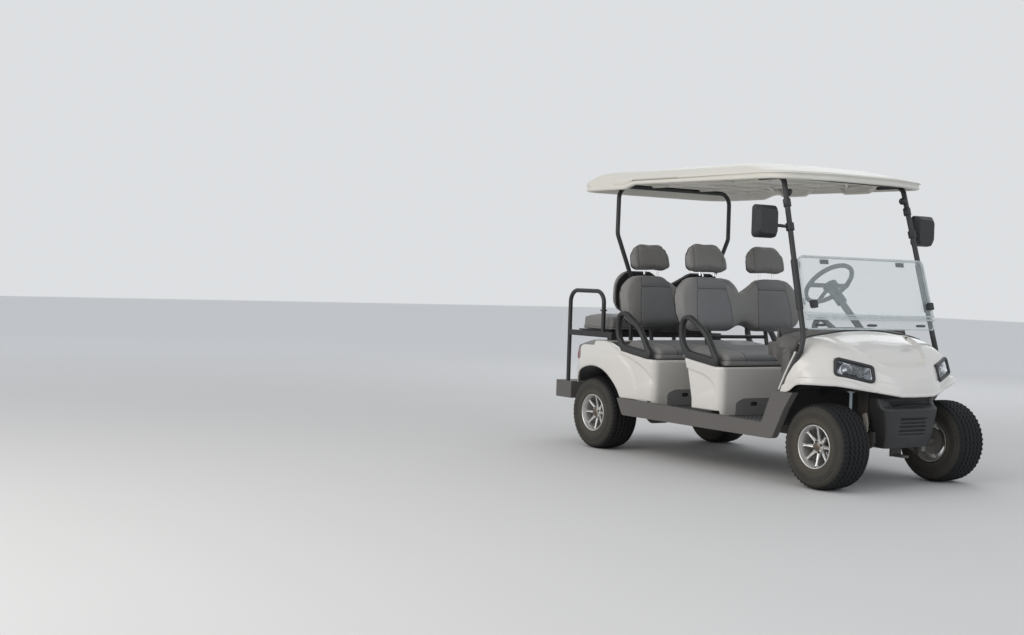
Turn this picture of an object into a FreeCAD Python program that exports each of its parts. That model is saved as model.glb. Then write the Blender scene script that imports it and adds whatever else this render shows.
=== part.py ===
import FreeCAD, Part
import math
import os

# Golf cart with three rows of seats.
# Millimetres. While it is built, x is measured from the front axle with forward positive,
# y is positive to the left and z is up from the ground. Every piece is then moved along x
# so that x = 0 is the middle of the cart's length.

V = FreeCAD.Vector
os.makedirs("parts", exist_ok=True)

# Running gear
tyre_radius = 228.5
tyre_width = 212.0
rim_radius = 118.0
rim_width = 196.0
wheelbase = 1920.0
front_half_track = 449.0
rear_half_track = 485.0
axle_z = tyre_radius
kingpin_y = 295.0
steer_arm_length = 120.0
spindle_radius = 14.7
running_gap = 0.3

# Frame and floor
rail_height = 60.0
rail_width = 50.0
rail_bottom = 245.0
main_rail_y = 300.0
front_rail_y = 180.0
rear_rail_bottom = 330.0
rail_top = rail_bottom + rail_height
floor_thickness = 14.0
floor_top = rail_top + floor_thickness
floor_front_x = -363.0
floor_rear_x = -1640.0
toe_top_x = -251.0
toe_top_z = 587.0

# Seats
base_front_x = -738.0
base_top = 597.0
row_pitch = 618.0
second_back_forward = 76.0
seat_half_width = 515.0
seat_side_gap = 6.0
arm_half_width = 20.0
arm_y = seat_half_width + seat_side_gap + arm_half_width
base_half_width = arm_y + 19.0
floor_half_width = base_half_width - 15.0
rocker_outer_y = floor_half_width + 45.0
cowl_half_width = rocker_outer_y - 6.0
body_wall = 8.0
recline = 12.0
hump_y = 245.0

# Ends of the cart
step_rear_x = -2493.0
step_front_x = -2322.0
step_half_width = 470.0
body_rear_x = -2215.0
rear_axle_x = -wheelbase
front_reach = tyre_radius
middle_x = (front_reach + step_rear_x) / 2


def mirrored(shape):
    """The same piece on the other side of the cart."""
    return shape.mirror(V(0, 0, 0), V(0, 1, 0))


def both(shape):
    return [shape, mirrored(shape)]


def corner_edges(corners, closed):
    """Straight runs joined by tangent arcs. Each corner is (point, radius)."""
    count = len(corners)
    starts = []
    ends = []
    middles = []
    for index in range(count):
        point, radius = corners[index]
        if radius == 0 or (not closed and index in (0, count - 1)):
            starts.append(point)
            ends.append(point)
            middles.append(None)
            continue
        back = corners[index - 1][0] - point
        ahead = corners[(index + 1) % count][0] - point
        back.normalize()
        ahead.normalize()
        half = math.acos(max(-1.0, min(1.0, back.dot(ahead)))) / 2
        reach = radius / math.tan(half)
        inward = back + ahead
        inward.normalize()
        starts.append(point + back * reach)
        ends.append(point + ahead * reach)
        middles.append(point + inward * (radius / math.sin(half) - radius))
    edges = []
    for index in range(count):
        if middles[index] is not None:
            edges.append(Part.Arc(starts[index], middles[index], ends[index]).toShape())
        if index == count - 1 and not closed:
            break
        following = starts[(index + 1) % count]
        if (following - ends[index]).Length > 1e-6:
            edges.append(Part.LineSegment(ends[index], following).toShape())
    return edges


def flat_face(rows, place):
    """A flat face from rows of (first, second, corner radius)."""
    corners = [(place(first, second), radius) for first, second, radius in rows]
    return Part.Face(Part.Wire(corner_edges(corners, True)))


def side_face(rows, y):
    return flat_face(rows, lambda x, z: V(x, y, z))


def side_solid(rows, y0, y1):
    """Rows of (x, z, radius), seen from the side, from y0 to y1."""
    return side_face(rows, y0).extrude(V(0, y1 - y0, 0))


def plan_solid(rows, z0, z1):
    """Rows of (x, y, radius), seen from above, from z0 to z1."""
    return flat_face(rows, lambda x, y: V(x, y, z0)).extrude(V(0, 0, z1 - z0))


def front_solid(rows, x0, x1):
    """Rows of (y, z, radius), seen from the front, from x0 to x1."""
    return flat_face(rows, lambda y, z: V(x0, y, z)).extrude(V(x1 - x0, 0, 0))


def block(x0, x1, y0, y1, z0, z1):
    return Part.makeBox(x1 - x0, y1 - y0, z1 - z0, V(x0, y0, z0))


def rod(start, end, radius):
    along = end - start
    return Part.makeCylinder(radius, along.Length, start, along)


def tube(corners, radius):
    """A round bar along a path of straight runs and bends."""
    path = Part.Wire(corner_edges(corners, False))
    start = corners[0][0]
    ring = Part.Wire(Part.makeCircle(radius, start, corners[1][0] - start))
    return path.makePipeShell([ring], True, False)


def turned(rows, centre_x, centre_y, centre_z):
    """Rows of (offset along y, radius, corner radius), turned about a line along y."""
    face = flat_face(rows, lambda along, radius: V(0, along, radius))
    solid = face.revolve(V(0, 0, 0), V(0, 1, 0), 360)
    solid.translate(V(centre_x, centre_y, centre_z))
    return solid


def fused(shapes):
    whole = shapes[0]
    for shape in shapes[1:]:
        whole = whole.fuse(shape)
    return whole.removeSplitter()


def round_edges(solid, radius, chosen):
    """Rounds the straight or curved edges whose middle point passes the test."""
    edges = []
    for edge in solid.Edges:
        middle = edge.valueAt((edge.FirstParameter + edge.LastParameter) / 2)
        if chosen(middle, edge):
            edges.append(edge)
    return solid.makeFillet(radius, edges)


def save(name, shapes):
    """Moves the solids to the middle of the length and writes them."""
    solids = []
    for shape in shapes:
        for solid in shape.Solids:
            placed = solid.copy()
            placed.translate(V(-middle_x, 0, 0))
            solids.append(placed)
    whole = solids[0] if len(solids) == 1 else Part.makeCompound(solids)
    whole.exportStep("parts/" + name + ".step")
    box = whole.BoundBox
    state = "ok" if all(solid.isValid() for solid in solids) else "INVALID"
    print(name, len(solids), state, "%.1f litres" % (whole.Volume / 1e6),
          "x %.0f %.0f" % (box.XMin + middle_x, box.XMax + middle_x),
          "y %.0f %.0f" % (box.YMin, box.YMax), "z %.0f %.0f" % (box.ZMin, box.ZMax))


# Ladder frame: narrow between the steered wheels, wide under the floor, kicked up over the rear axle
front_rail_end = 95.0
join_front_x = -340.0
join_rear_x = -430.0
kick_start_x = -1560.0
kick_end_x = -1650.0
tower_top = 529.0
tower_plate = 8.0
rear_rail_top = rear_rail_bottom + rail_height
front_rail_outer = front_rail_y + rail_width / 2
front_rail_inner = front_rail_y - rail_width / 2
main_rail_outer = main_rail_y + rail_width / 2
main_rail_inner = main_rail_y - rail_width / 2
rack_x = -steer_arm_length
rack_member = (rack_x - 30, rack_x + 30)


def ladder_frame():
    front_rail = block(join_rear_x, front_rail_end, front_rail_inner, front_rail_outer, rail_bottom,
            rail_top)
    main_rail = side_solid([
        (join_front_x, rail_bottom, 0), (join_front_x, rail_top, 0), (kick_start_x, rail_top, 0),
        (kick_end_x, rear_rail_top, 0), (step_front_x, rear_rail_top, 0),
        (step_front_x, rear_rail_bottom, 0),
        (kick_end_x, rear_rail_bottom, 0), (kick_start_x, rail_bottom, 0)], main_rail_inner, main_rail_outer)
    tower = block(-22, 52, front_rail_outer - tower_plate, front_rail_outer, rail_top, tower_top)
    shelf = block(-22, 52, front_rail_outer - tower_plate, kingpin_y + 25, tower_top - tower_plate,
            tower_top)
    pieces = both(front_rail) + both(main_rail) + both(fused([tower, shelf]))
    # Cross members: (x from, x to, half width, bottom)
    for x0, x1, half_width, bottom in (
            (front_rail_end - 40, front_rail_end, front_rail_outer, rail_bottom),
            (rack_member[0], rack_member[1], front_rail_outer, rail_bottom + 10),
            (join_rear_x, join_front_x, main_rail_outer, rail_bottom),
            (-1010, -960, main_rail_outer, rail_bottom),
            (-1530, -1480, main_rail_outer, rail_bottom),
            (-1760, -1710, main_rail_outer, rear_rail_bottom),
            (-2290, -2240, main_rail_outer, rear_rail_bottom)):
        pieces.append(block(x0, x1, -half_width, half_width, bottom, bottom + rail_height
                            if bottom != rail_bottom + 10 else rail_top))
    return fused(pieces)


save("ladder_frame", [ladder_frame()])


# Floor deck and the toe board that rises from it
toe_thickness = 12.0
gusset_top = 505.0
dash_half_width = floor_half_width - 47.0


def floor_deck():
    rise = V(toe_top_x - floor_front_x, 0, toe_top_z - floor_top)
    rise.normalize()
    across = V(rise.z, 0, -rise.x) * toe_thickness
    deck = side_solid([
        (kick_start_x, rail_top, 0), (kick_start_x, floor_top, 0), (floor_front_x, floor_top, 0),
        (toe_top_x, toe_top_z, 0), (toe_top_x + across.x, toe_top_z + across.z, 0),
        (floor_front_x + across.x + 4, rail_top, 0)], -floor_half_width, floor_half_width)
    # Above the skirt's gussets the toe board stands between the arches of the dash
    for corner in both(block(-400, 0, dash_half_width - 0.5, 700, gusset_top - 1, 700)):
        deck = deck.cut(corner)
    return deck


floor_shape = floor_deck()
save("floor_deck", [floor_shape])


# Rocker panels: the black skirt below the seats and its gusset that rises to the struts
rocker_bottom = 243.0
rocker_rear_top = 346.0
rocker_rear_x = -1665.0
gusset_rows = [
    (rocker_rear_x, rocker_rear_top, 6), (rocker_rear_x + 60, rocker_bottom, 25), (-276, rocker_bottom, 35),
    (-187, 418, 60), (-128, gusset_top, 0), (-285, gusset_top, 0), (floor_front_x + 4, floor_top + 4, 30)]


def rocker_panel():
    panel = side_solid(gusset_rows, floor_half_width, rocker_outer_y)
    hollow = side_face(gusset_rows, floor_half_width).makeOffset2D(-10)
    panel = panel.cut(hollow.extrude(V(0, rocker_outer_y - floor_half_width - 10, 0)))
    return panel.removeSplitter()


rocker_shape = rocker_panel()
save("rocker_panels", both(rocker_shape))


# Front struts: two bent tubes from the gussets over the fenders to the roof
strut_radius = 15.0
roof_ceiling_z = 1692.0
strut_low_x = -139.0
strut_low_z = 807.0
strut_top_x = -372.0
strut_top_z = 1662.0
strut_foot_x = -226.0
strut_foot_z = gusset_top + 0.5
strut_foot_y = rocker_outer_y - 18.0
strut_waist_y = strut_foot_y - 60.0
strut_top_y = strut_waist_y - 38.0


def front_strut(radius):
    top_z = roof_ceiling_z - strut_radius - 0.5
    share = (top_z - strut_low_z) / (strut_top_z - strut_low_z)
    top_x = strut_low_x + (strut_top_x - strut_low_x) * share
    top_y = strut_waist_y + (strut_top_y - strut_waist_y) * share
    bar = tube([
        (V(strut_foot_x - 12, strut_foot_y + 6, strut_foot_z - 34), 0),
        (V(strut_low_x + 6, strut_waist_y + 22, 730), 60),
        (V(strut_low_x, strut_waist_y, strut_low_z), 40),
        (V(top_x, top_y, top_z), 60), (V(top_x - 190, top_y, top_z), 0)], radius)
    return bar.cut(block(-400, 100, 400, 700, 300, strut_foot_z))


strut_shape = front_strut(strut_radius)
save("front_struts", both(strut_shape))


# Front cowl: hood, nose and front fenders in one moulding
cowl_rear_x = -203.0
cowl_wall = 8.0
cowl_bottom = 497.0
# Sections: half width y, rear x, rear top z, brow x, brow z, lip x, lip z, hood bulge, nose bulge
cowl_sections = (
    (0, -203, 839, 186, 592, 206, 497, 30, 7),
    (140, -203, 834, 168, 602, 192, 499, 29, 7),
    (250, -203, 822, 112, 650, 146, 505, 26, 6),
    (cowl_half_width - 159, -203, 797, 12, 702, 74, 540, 18, 8),
    (cowl_half_width - 84, -203, 758, -50, 680, 28, 555, 12, 10),
    (cowl_half_width - 29, -222, 690, -100, 632, -14, 560, 8, 8),
    (cowl_half_width, -240, 600, -140, 580, -60, 560, 3, 3))


def cowl_section(row, inset, side):
    y, rear_x, rear_z, brow_x, brow_z, lip_x, lip_z, hood_bulge, nose_bulge = row
    flat = y * side * (1 - inset / cowl_half_width)
    rear_bottom = V(rear_x + inset, flat, cowl_bottom - 20)
    rear_top = V(rear_x + inset, flat, rear_z - inset)
    brow = V(brow_x - inset, flat, brow_z - inset)
    lip = V(lip_x - inset, flat, lip_z - inset)
    toe = V(lip_x - inset, flat, cowl_bottom - 20)

    def bulged(start, end, bulge):
        along = end - start
        up = V(-along.z, 0, along.x)
        up.normalize()
        return (start + end) * 0.5 + up * bulge
    edges = [
        Part.LineSegment(rear_bottom, rear_top).toShape(),
        Part.Arc(rear_top, bulged(rear_top, brow, hood_bulge), brow).toShape(),
        Part.Arc(brow, bulged(brow, lip, nose_bulge), lip).toShape(),
        Part.LineSegment(lip, toe).toShape(),
        Part.LineSegment(toe, rear_bottom).toShape()]
    return Part.Wire(edges)


def cowl_body(inset):
    left = [cowl_section(row, inset, 1) for row in reversed(cowl_sections[1:])]
    right = [cowl_section(row, inset, -1) for row in cowl_sections]
    return Part.makeLoft(left + right, True, True)


# The lamp's four corners on the right side: outer top, inner top, inner bottom, outer bottom
lamp_outer_y = cowl_half_width - 132.0
lamp_corners = (
    V(10, 22 - lamp_outer_y, 702), V(112, -243, 659), V(130, -245, 567), V(34, -lamp_outer_y, 608))
lamp_depth = 70.0
lamp_gap = 0.5


def lamp_frame():
    """The lamp's middle, its outward normal and its corners flattened on that plane."""
    middle = (lamp_corners[0] + lamp_corners[1] + lamp_corners[2] + lamp_corners[3]) * 0.25
    normal = (lamp_corners[2] - lamp_corners[0]).cross(lamp_corners[3] - lamp_corners[1])
    normal.normalize()
    if normal.x < 0:
        normal = normal * -1
    flat = [corner - normal * (corner - middle).dot(normal) for corner in lamp_corners]
    return middle, normal, flat


def lamp_prism(grow, front, back):
    """A prism on the lamp's outline, grown all round, from front to back along the normal."""
    middle, normal, flat = lamp_frame()
    corners = []
    for corner in flat:
        away = corner - middle
        size = away.Length
        away.normalize()
        corners.append((middle + away * (size + grow) + normal * front, 22))
    face = Part.Face(Part.Wire(corner_edges(corners, True)))
    return face.extrude(normal * (back - front))


def front_cowl():
    shell = cowl_body(0).cut(cowl_body(cowl_wall))
    # Wheel arches: a low arch with its top over the tyre, through the fender
    arch = side_solid([
        (-170, cowl_bottom - 60, 0), (-170, cowl_bottom + 3, 0), (-104, 548, 60), (40, 574, 200),
        (150, 553, 90), (260, 500, 0), (260, cowl_bottom - 60, 0)], -700, 700)
    lip_front = front_solid([
        (-700, 560, 0), (-455, 552, 120), (0, 482, 900), (455, 552, 120), (700, 560, 0),
        (700, 440, 0), (-700, 440, 0)], -120, 300)
    shell = shell.cut(block(-400, 400, -700, 700, 300, cowl_bottom + 3))
    shell = shell.cut(arch.common(lip_front))
    shell = shell.cut(block(-400, cowl_rear_x - 45, -700, 700, 300, 1000))
    for cutter in both(lamp_prism(lamp_gap, 60, -lamp_depth - 30)):
        shell = shell.cut(cutter)
    # The rear is open where the dash closes it
    open_half = floor_half_width + 3
    inner_rear = cowl_body(cowl_wall).common(block(-400, cowl_rear_x + 12, -open_half, open_half, 400, 900))
    inner_rear.translate(V(-6, 0, 0))
    shell = shell.cut(inner_rear)
    # Room for the struts along the sides
    for channel in both(front_strut(strut_radius + 2)):
        shell = shell.cut(channel)
    # Room for the dash's arches and the gussets' tops
    for corner in both(block(-400, cowl_rear_x, dash_half_width - 8, floor_half_width + 0.5, 300, 1000)):
        shell = shell.cut(corner)
    for corner in both(block(-400, -120, floor_half_width - 5, 700, 300, gusset_top + 0.5)):
        shell = shell.cut(corner)
    shell = max(shell.Solids, key=lambda solid: solid.Volume)
    return shell.removeSplitter()


cowl_shape = front_cowl()
save("front_cowl", [cowl_shape])


# Headlamps: a dark housing set into the cowl and a clear lens over it
lens_thickness = 4.0
bezel_width = 12.0


def headlamp_housing():
    housing = lamp_prism(0, 14, -lamp_depth)
    bowl = lamp_prism(-bezel_width, 15, -lamp_depth + 12)
    return housing.cut(bowl)


def headlamp_lens():
    return lamp_prism(-bezel_width - 0.5, 11, 11 - lens_thickness)


save("headlamp_housings", both(headlamp_housing()))
save("headlamp_lenses", both(headlamp_lens()))


# Dash panel: a hollow bar behind the hood, a ledge with cup holders and a side arch on each side
dash_front_x = cowl_rear_x - 3
dash_ledge_x = -425.0
dash_ledge_top = 765.0
cup_radius = 39.0
cup_depth = 58.0
arch_rows = [
    (-285, gusset_top, 0), (-233, gusset_top, 0), (-212, 560, 30), (dash_front_x, 640, 20),
    (dash_front_x, 752, 0), (-222, 800, 30), (-262, 856, 40), (-310, 856, 25), (-318, 800, 60),
    (-262, 700, 60), (-268, 600, 40)]
cup_y = (98.0 - dash_half_width, 208.0 - dash_half_width, 95.0, dash_half_width - 78.0)
cubby_rows = ((43.0 - dash_half_width, 253.0 - dash_half_width), (-205.0, 165.0))


def dash_panel():
    body = side_solid([
        (dash_front_x, toe_top_z + 15, 0), (dash_front_x, 838, 12), (-300, 862, 25), (-352, 838, 30),
        (-362, dash_ledge_top, 0), (dash_ledge_x, dash_ledge_top, 18), (dash_ledge_x + 8, 690, 18),
        (-352, 672, 30), (-275, toe_top_z + 15, 10)], -dash_half_width, dash_half_width)
    open_half = dash_half_width - 28
    body = body.cut(block(dash_front_x - 60, dash_front_x + 1, -open_half, open_half, toe_top_z + 40, 815))
    for y0, y1 in cubby_rows:
        cubby = block(-400, dash_front_x - 72, y0, y1, dash_ledge_top + 6, 828)
        body = body.cut(cubby)
    for y in cup_y:
        body = body.cut(rod(V(dash_ledge_x + 43, y, dash_ledge_top - cup_depth),
                            V(dash_ledge_x + 43, y, dash_ledge_top + 100), cup_radius))
    arch = side_solid(arch_rows, dash_half_width, floor_half_width)
    return fused([body] + both(arch))


dash_shape = dash_panel()
save("dash_panel", [dash_shape])


# Front valance: a black bumper that hangs below the cowl's lip, open at the back
valance_wall = 5.0
valance_back_x = 62.0
# Levels: height z, side x, half width, front x
valance_levels = (
    (222.0, 128.0, 182.0, 158.0), (300.0, 140.0, 200.0, 184.0), (372.0, 136.0, 222.0, 196.0),
    (440.0, 118.0, 240.0, 204.0), (462.0, 96.0, 238.0, 176.0), (490.0, 84.0, 232.0, 156.0))
louvre_half_width = 102.0
louvre_bottom = 290.0
louvre_pitch = 21.0
louvre_height = 10.0
louvre_count = 5


def valance_body(inset, back_x):
    wires = []
    for z, side_x, half_width, front_x in valance_levels:
        half_width = half_width - inset
        side = V(side_x - inset / 2, half_width, z)
        wires.append(Part.Wire([
            Part.LineSegment(V(back_x, -half_width, z), V(back_x, half_width, z)).toShape(),
            Part.LineSegment(V(back_x, half_width, z), side).toShape(),
            Part.Arc(side, V(front_x - inset, 0, z), V(side.x, -half_width, z)).toShape(),
            Part.LineSegment(V(side.x, -half_width, z), V(back_x, -half_width, z)).toShape()]))
    return Part.makeLoft(wires, True, True)


def front_valance():
    shell = valance_body(0, valance_back_x).cut(valance_body(valance_wall, valance_back_x - 1))
    floor_plate = valance_body(0, valance_back_x).common(block(0, 300, -300, 300, 222, 227))
    shell = shell.fuse(floor_plate)
    shell = shell.cut(block(0, front_rail_end + 0.5, -300, 300, 200, rail_top + 0.5))
    for index in range(louvre_count):
        bottom = louvre_bottom + index * louvre_pitch
        shell = shell.cut(block(150, 260, -louvre_half_width, louvre_half_width, bottom,
                bottom + louvre_height))
    # Two ears reach back to the frame's front member
    ear = block(front_rail_end + 0.5, 260, front_rail_inner, front_rail_inner + 8, rail_bottom + 5,
            rail_top - 5)
    ear = ear.common(valance_body(1, valance_back_x))
    return shell.fuse(both(ear)).removeSplitter()


save("front_valance", [front_valance()])


# Tow eye under the front member
tow_eye_z = 172.0
tow_eye_x = 132.0
tow_bore_radius = 11.0
tow_plate = 12.0


def tow_eye():
    drop = block(front_rail_end - 30, front_rail_end - 18, -40, 40, tow_eye_z - tow_plate / 2, rail_bottom)
    tongue = plan_solid([
        (front_rail_end - 30, -28, 0), (tow_eye_x + 24, -24, 22), (tow_eye_x + 24, 24, 22),
        (front_rail_end - 30, 28, 0)], tow_eye_z - tow_plate / 2, tow_eye_z + tow_plate / 2)
    hole = rod(V(tow_eye_x, 0, tow_eye_z - 30), V(tow_eye_x, 0, tow_eye_z + 30), tow_bore_radius)
    return fused([drop, tongue]).cut(hole)


save("tow_eye", [tow_eye()])


# Rear body: second seat base, rear fenders and tail in one moulding
arch_radius = 288.0
arch_centre_z = 240.0
rear_deck_x = -1838.0
rear_peak_z = 688.0
body_bottom = 330.0
tail_bottom = 404.0
base2_front_x = base_front_x - row_pitch
rear_side_rows = [
    (base2_front_x, floor_top, 0), (base2_front_x, base_top, 10), (base2_front_x - 50, base_top + 4, 60),
    (-1690, 640, 300), (-1850, rear_peak_z + 4, 200), (-1990, rear_peak_z - 2, 160), (-2130, 640, 120),
    (body_rear_x, 560, 70), (body_rear_x, tail_bottom, 0), (floor_rear_x, tail_bottom, 0),
    (floor_rear_x, floor_top, 0)]


def rear_block(inset):
    """The body's outer form: its side outline, its plan and its rounded upper edges met together."""
    face = side_face(rear_side_rows, -700)
    if inset:
        face = face.makeOffset2D(-inset)
    side = face.extrude(V(0, 1400, 0))
    half = base_half_width - inset
    left = [
        (base2_front_x - inset, half, 60), (-1600, half, 150), (-1730, half + 25, 300),
        (-2060, half + 25, 150), (body_rear_x + inset, half - 62, 60)]
    right = [(x, -y, radius) for x, y, radius in reversed(left)]
    plan = plan_solid(left + right, 200, 800)
    crown = front_solid([
        (-half - 40, 200, 0), (-half - 40, 560, 60), (-half + 20, 700 - inset, 70),
        (half - 20, 700 - inset, 70),
        (half + 40, 560, 60), (half + 40, 200, 0)], -2400, -1200)
    return side.common(plan).common(crown)


def arch_cutter(radius, y0, y1):
    drum = Part.makeCylinder(radius, y1 - y0, V(rear_axle_x, y0, arch_centre_z), V(0, 1, 0))
    skirt = block(rear_axle_x - radius, rear_axle_x + radius, y0, y1, 100, arch_centre_z)
    return drum.fuse(skirt)


well_inner_y = 345.0


def rear_body():
    outer = rear_block(0)
    # The seat well, floored at the cushion's height, and the raised deck behind it
    outer = outer.cut(block(rear_deck_x, -1200, -seat_half_width - 4, seat_half_width + 4, base_top, 900))
    inner = rear_block(body_wall)
    inner = inner.cut(block(rear_deck_x - body_wall, -1200, -seat_half_width - 4 - body_wall,
                            seat_half_width + 4 + body_wall, base_top - body_wall, 900))
    shell = outer.cut(inner)
    shell = shell.cut(block(-1640 + body_wall, base2_front_x - body_wall, -base_half_width + body_wall,
                            base_half_width - body_wall, 300, floor_top + 20))
    shell = shell.cut(block(body_rear_x + body_wall, floor_rear_x + 20, -490, 490, 390, tail_bottom + 20))
    for cutter in both(arch_cutter(arch_radius, well_inner_y - 5, 700)):
        shell = shell.cut(cutter)
    # The frame's rails pass below the seat box
    shell = shell.cut(block(floor_rear_x - 20, floor_rear_x + 40, -well_inner_y + 5, well_inner_y - 5, 300,
            430))
    # Room for the skirt below and beside it
    for panel in both(block(rocker_rear_x - 5, -300, floor_half_width - 0.3, 700, 200,
            rocker_rear_top + 0.5)):
        shell = shell.cut(panel)
    solids = sorted(shell.Solids, key=lambda solid: solid.Volume)
    return solids[-1]


rear_shape = rear_body()
save("rear_body", [rear_shape])


# Front seat base: a hollow box with rounded front corners and a rear wall that curves in
base_rear_top_x = -1058.0
base_rear_low_x = -980.0
base_rear_top_z = 634.0


def base_outline(inset):
    top_rear = V(base_rear_top_x + inset, -700, base_rear_top_z - inset)
    middle = V(-1008 + inset, -700, 486)
    low_rear = V(base_rear_low_x + inset, -700, floor_top)
    front_low = V(base_front_x - inset, -700, floor_top)
    front_top = V(base_front_x - inset, -700, base_top - inset)
    shoulder = V(base_front_x - 60, -700, base_top + 2 - inset)
    return Part.Face(Part.Wire([
        Part.Arc(top_rear, middle, low_rear).toShape(),
        Part.LineSegment(low_rear, front_low).toShape(),
        Part.LineSegment(front_low, front_top).toShape(),
        Part.LineSegment(front_top, shoulder).toShape(),
        Part.LineSegment(shoulder, top_rear).toShape()]))


def base_block(inset):
    half = base_half_width - inset
    front = base_front_x - inset
    plan = plan_solid([
        (-1200, -half, 0), (front - 8, -half, 55), (front, -200, 900), (front, 200, 900),
        (front - 8, half, 55),
        (-1200, half, 0)], 200, 800)
    return base_outline(inset).extrude(V(0, 1400, 0)).common(plan)


def front_seat_base():
    outer = base_block(0)
    outer = outer.cut(block(-1300, -600, -seat_half_width - 4, seat_half_width + 4, base_top, 800))
    inner = base_block(body_wall)
    well = seat_half_width + 4 + body_wall
    inner = inner.cut(block(-1300, -600, -well, well, base_top - body_wall, 800))
    shell = outer.cut(inner)
    for panel in both(block(-1300, -300, floor_half_width - 0.3, 700, 200, rocker_rear_top + 0.5)):
        shell = shell.cut(panel)
    solids = sorted(shell.Solids, key=lambda solid: solid.Volume)
    return solids[-1]


base_shape = front_seat_base()
save("front_seat_base", [base_shape])
save("battery_pack", [block(-955, -765, -430, 430, floor_top, 540)])


# Grey insert panels low on the fronts of both seat bases
insert_thickness = 4.0
insert_half_width = 440.0
insert_top = 418.0
slot_y = 300.0


def insert_panel(front_x):
    panel = front_solid([
        (-insert_half_width, floor_top + 2, 0), (-insert_half_width, 395, 30),
        (-insert_half_width + 60, insert_top, 60),
        (insert_half_width - 60, insert_top, 60), (insert_half_width, 395, 30),
        (insert_half_width, floor_top + 2, 0)],
        front_x + 0.5, front_x + 0.5 + insert_thickness)
    slot = front_solid([
        (slot_y - 26, 372, 11), (slot_y - 26, 396, 11), (slot_y + 26, 396, 11), (slot_y + 26, 372, 11)],
        front_x - 10, front_x + 10)
    return panel.cut(slot).cut(mirrored(slot))


save("seat_base_inserts", [insert_panel(base_front_x), insert_panel(base2_front_x)])


# Tail trims with the tail lamps at their rear ends
trim_lift = 4.0


def tail_strip(x0, x1):
    """A strip that lies on the fender's top rear shoulder."""
    skin = rear_block(-trim_lift).cut(rear_block(-0.4))
    return skin.common(block(x0, x1, base_half_width - 160, base_half_width, 560, 800))


save("tail_trims", both(tail_strip(-2120, -1960)))
save("tail_lamps", both(tail_strip(-2190, -2121)))


# Seat cushions of the first two rows: thick pads, stepped up at the back over the seat tubes
cushion_lengths = (415.0, 352.0)
cushion_front_z = 668.0
cushion_rear_z = 700.0
seat_tube_radius = 13.0
seat_tube_z = base_top + seat_tube_radius + 0.5
soft_gap = 0.5


def bench_cushion(front_x, length):
    rear_x = front_x - length
    step_x = front_x - 262
    under = seat_tube_z + seat_tube_radius + soft_gap
    half = seat_half_width
    pad = side_solid([
        (front_x, base_top + soft_gap, 18), (front_x + 4, cushion_front_z, 32),
        (front_x - 150, cushion_front_z + 22, 200),
        (rear_x, cushion_rear_z + 6, 30), (rear_x, under, 10), (step_x, under, 0),
        (step_x, base_top + soft_gap, 0)],
        -half, half)
    crown = front_solid([
        (-half, 500, 0), (-half, cushion_front_z + 8, 24), (-half + 50, cushion_rear_z + 4, 90),
        (half - 50, cushion_rear_z + 4, 90), (half, cushion_front_z + 8, 24), (half, 500, 0)], rear_x - 10,
        front_x + 10)
    plan = plan_solid([
        (rear_x, -half, 30), (front_x + 3, -half, 40), (front_x + 3, half, 40), (rear_x, half, 30)], 500,
        800)
    return pad.common(crown).common(plan)


# Backrests: two humps side by side with a valley between them
back_thickness = 76.0
back_height = 342.0
back_half_width = seat_half_width - 12.0
back_outline = [
    (-back_half_width + 8, 0, 135), (-back_half_width - 4, back_height, 165),
    (-hump_y + 70, back_height, 110),
    (0, back_height - 102, 90), (hump_y - 70, back_height, 110), (back_half_width + 4, back_height, 165),
    (back_half_width - 8, 0, 135), (105, 0, 80), (0, 46, 110), (-105, 0, 80)]
shell_thickness = 8.0
shell_inset = 12.0
back_low_z = 792.0
back_low_x = 406.0


def leaned(shape, pivot_x, pivot_z, angle):
    """Leans a piece back about a line across the cart, by a negative angle if it faces backwards."""
    shape.rotate(V(pivot_x, 0, pivot_z), V(0, 1, 0), -angle)
    return shape


def back_pad(front_x, low_z, thickness, angle, outline):
    """A pad with its front face at front_x, leaned back. Thickness is negative if it faces backwards."""
    rows = [(y, low_z + height, radius) for y, height, radius in outline]
    pad = front_solid(rows, front_x - thickness, front_x)
    pad = round_edges(pad, 26, lambda middle, edge: abs(middle.x - front_x) < 1)
    return leaned(pad, front_x, low_z, angle)


def back_shell(front_x, low_z, thickness, wall, angle, outline):
    """The hard shell that backs the pad, a little smaller than the pad all round."""
    gap = math.copysign(soft_gap, thickness)
    start = front_x - thickness - gap
    rows = [(y, low_z + height, radius) for y, height, radius in outline]
    face = flat_face(rows, lambda y, z: V(start, y, z)).makeOffset2D(-shell_inset)
    plate = face.extrude(V(-math.copysign(wall, thickness), 0, 0))
    return leaned(plate, front_x, low_z, angle)


def back_front_x(base_x):
    return base_x - back_low_x


row_base_x = (base_front_x, base2_front_x)
row_back_x = (back_front_x(base_front_x), back_front_x(base2_front_x) + second_back_forward)
save("cushion_front", [bench_cushion(base_front_x - 4, cushion_lengths[0])])
save("cushion_second", [bench_cushion(base2_front_x - 4, cushion_lengths[1])])
save("backrest_front", [back_pad(row_back_x[0], back_low_z, back_thickness, recline, back_outline)])
save("backrest_second", [back_pad(row_back_x[1], back_low_z, back_thickness, recline, back_outline)])

# The rear bench faces backwards over the tail
rear_back_half = 452.0
rear_back_x = -1966.0
rear_back_low = 872.0
rear_back_height = 276.0
rear_outline = [
    (-rear_back_half + 10, 0, 90), (-rear_back_half - 4, rear_back_height, 120),
    (-hump_y + 80, rear_back_height, 100),
    (0, rear_back_height - 80, 80), (hump_y - 80, rear_back_height, 100),
    (rear_back_half + 4, rear_back_height, 120),
    (rear_back_half - 10, 0, 90)]
rear_back_thickness = -44.0
rear_shell_thickness = 6.0
rear_recline = -5.0

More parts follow.
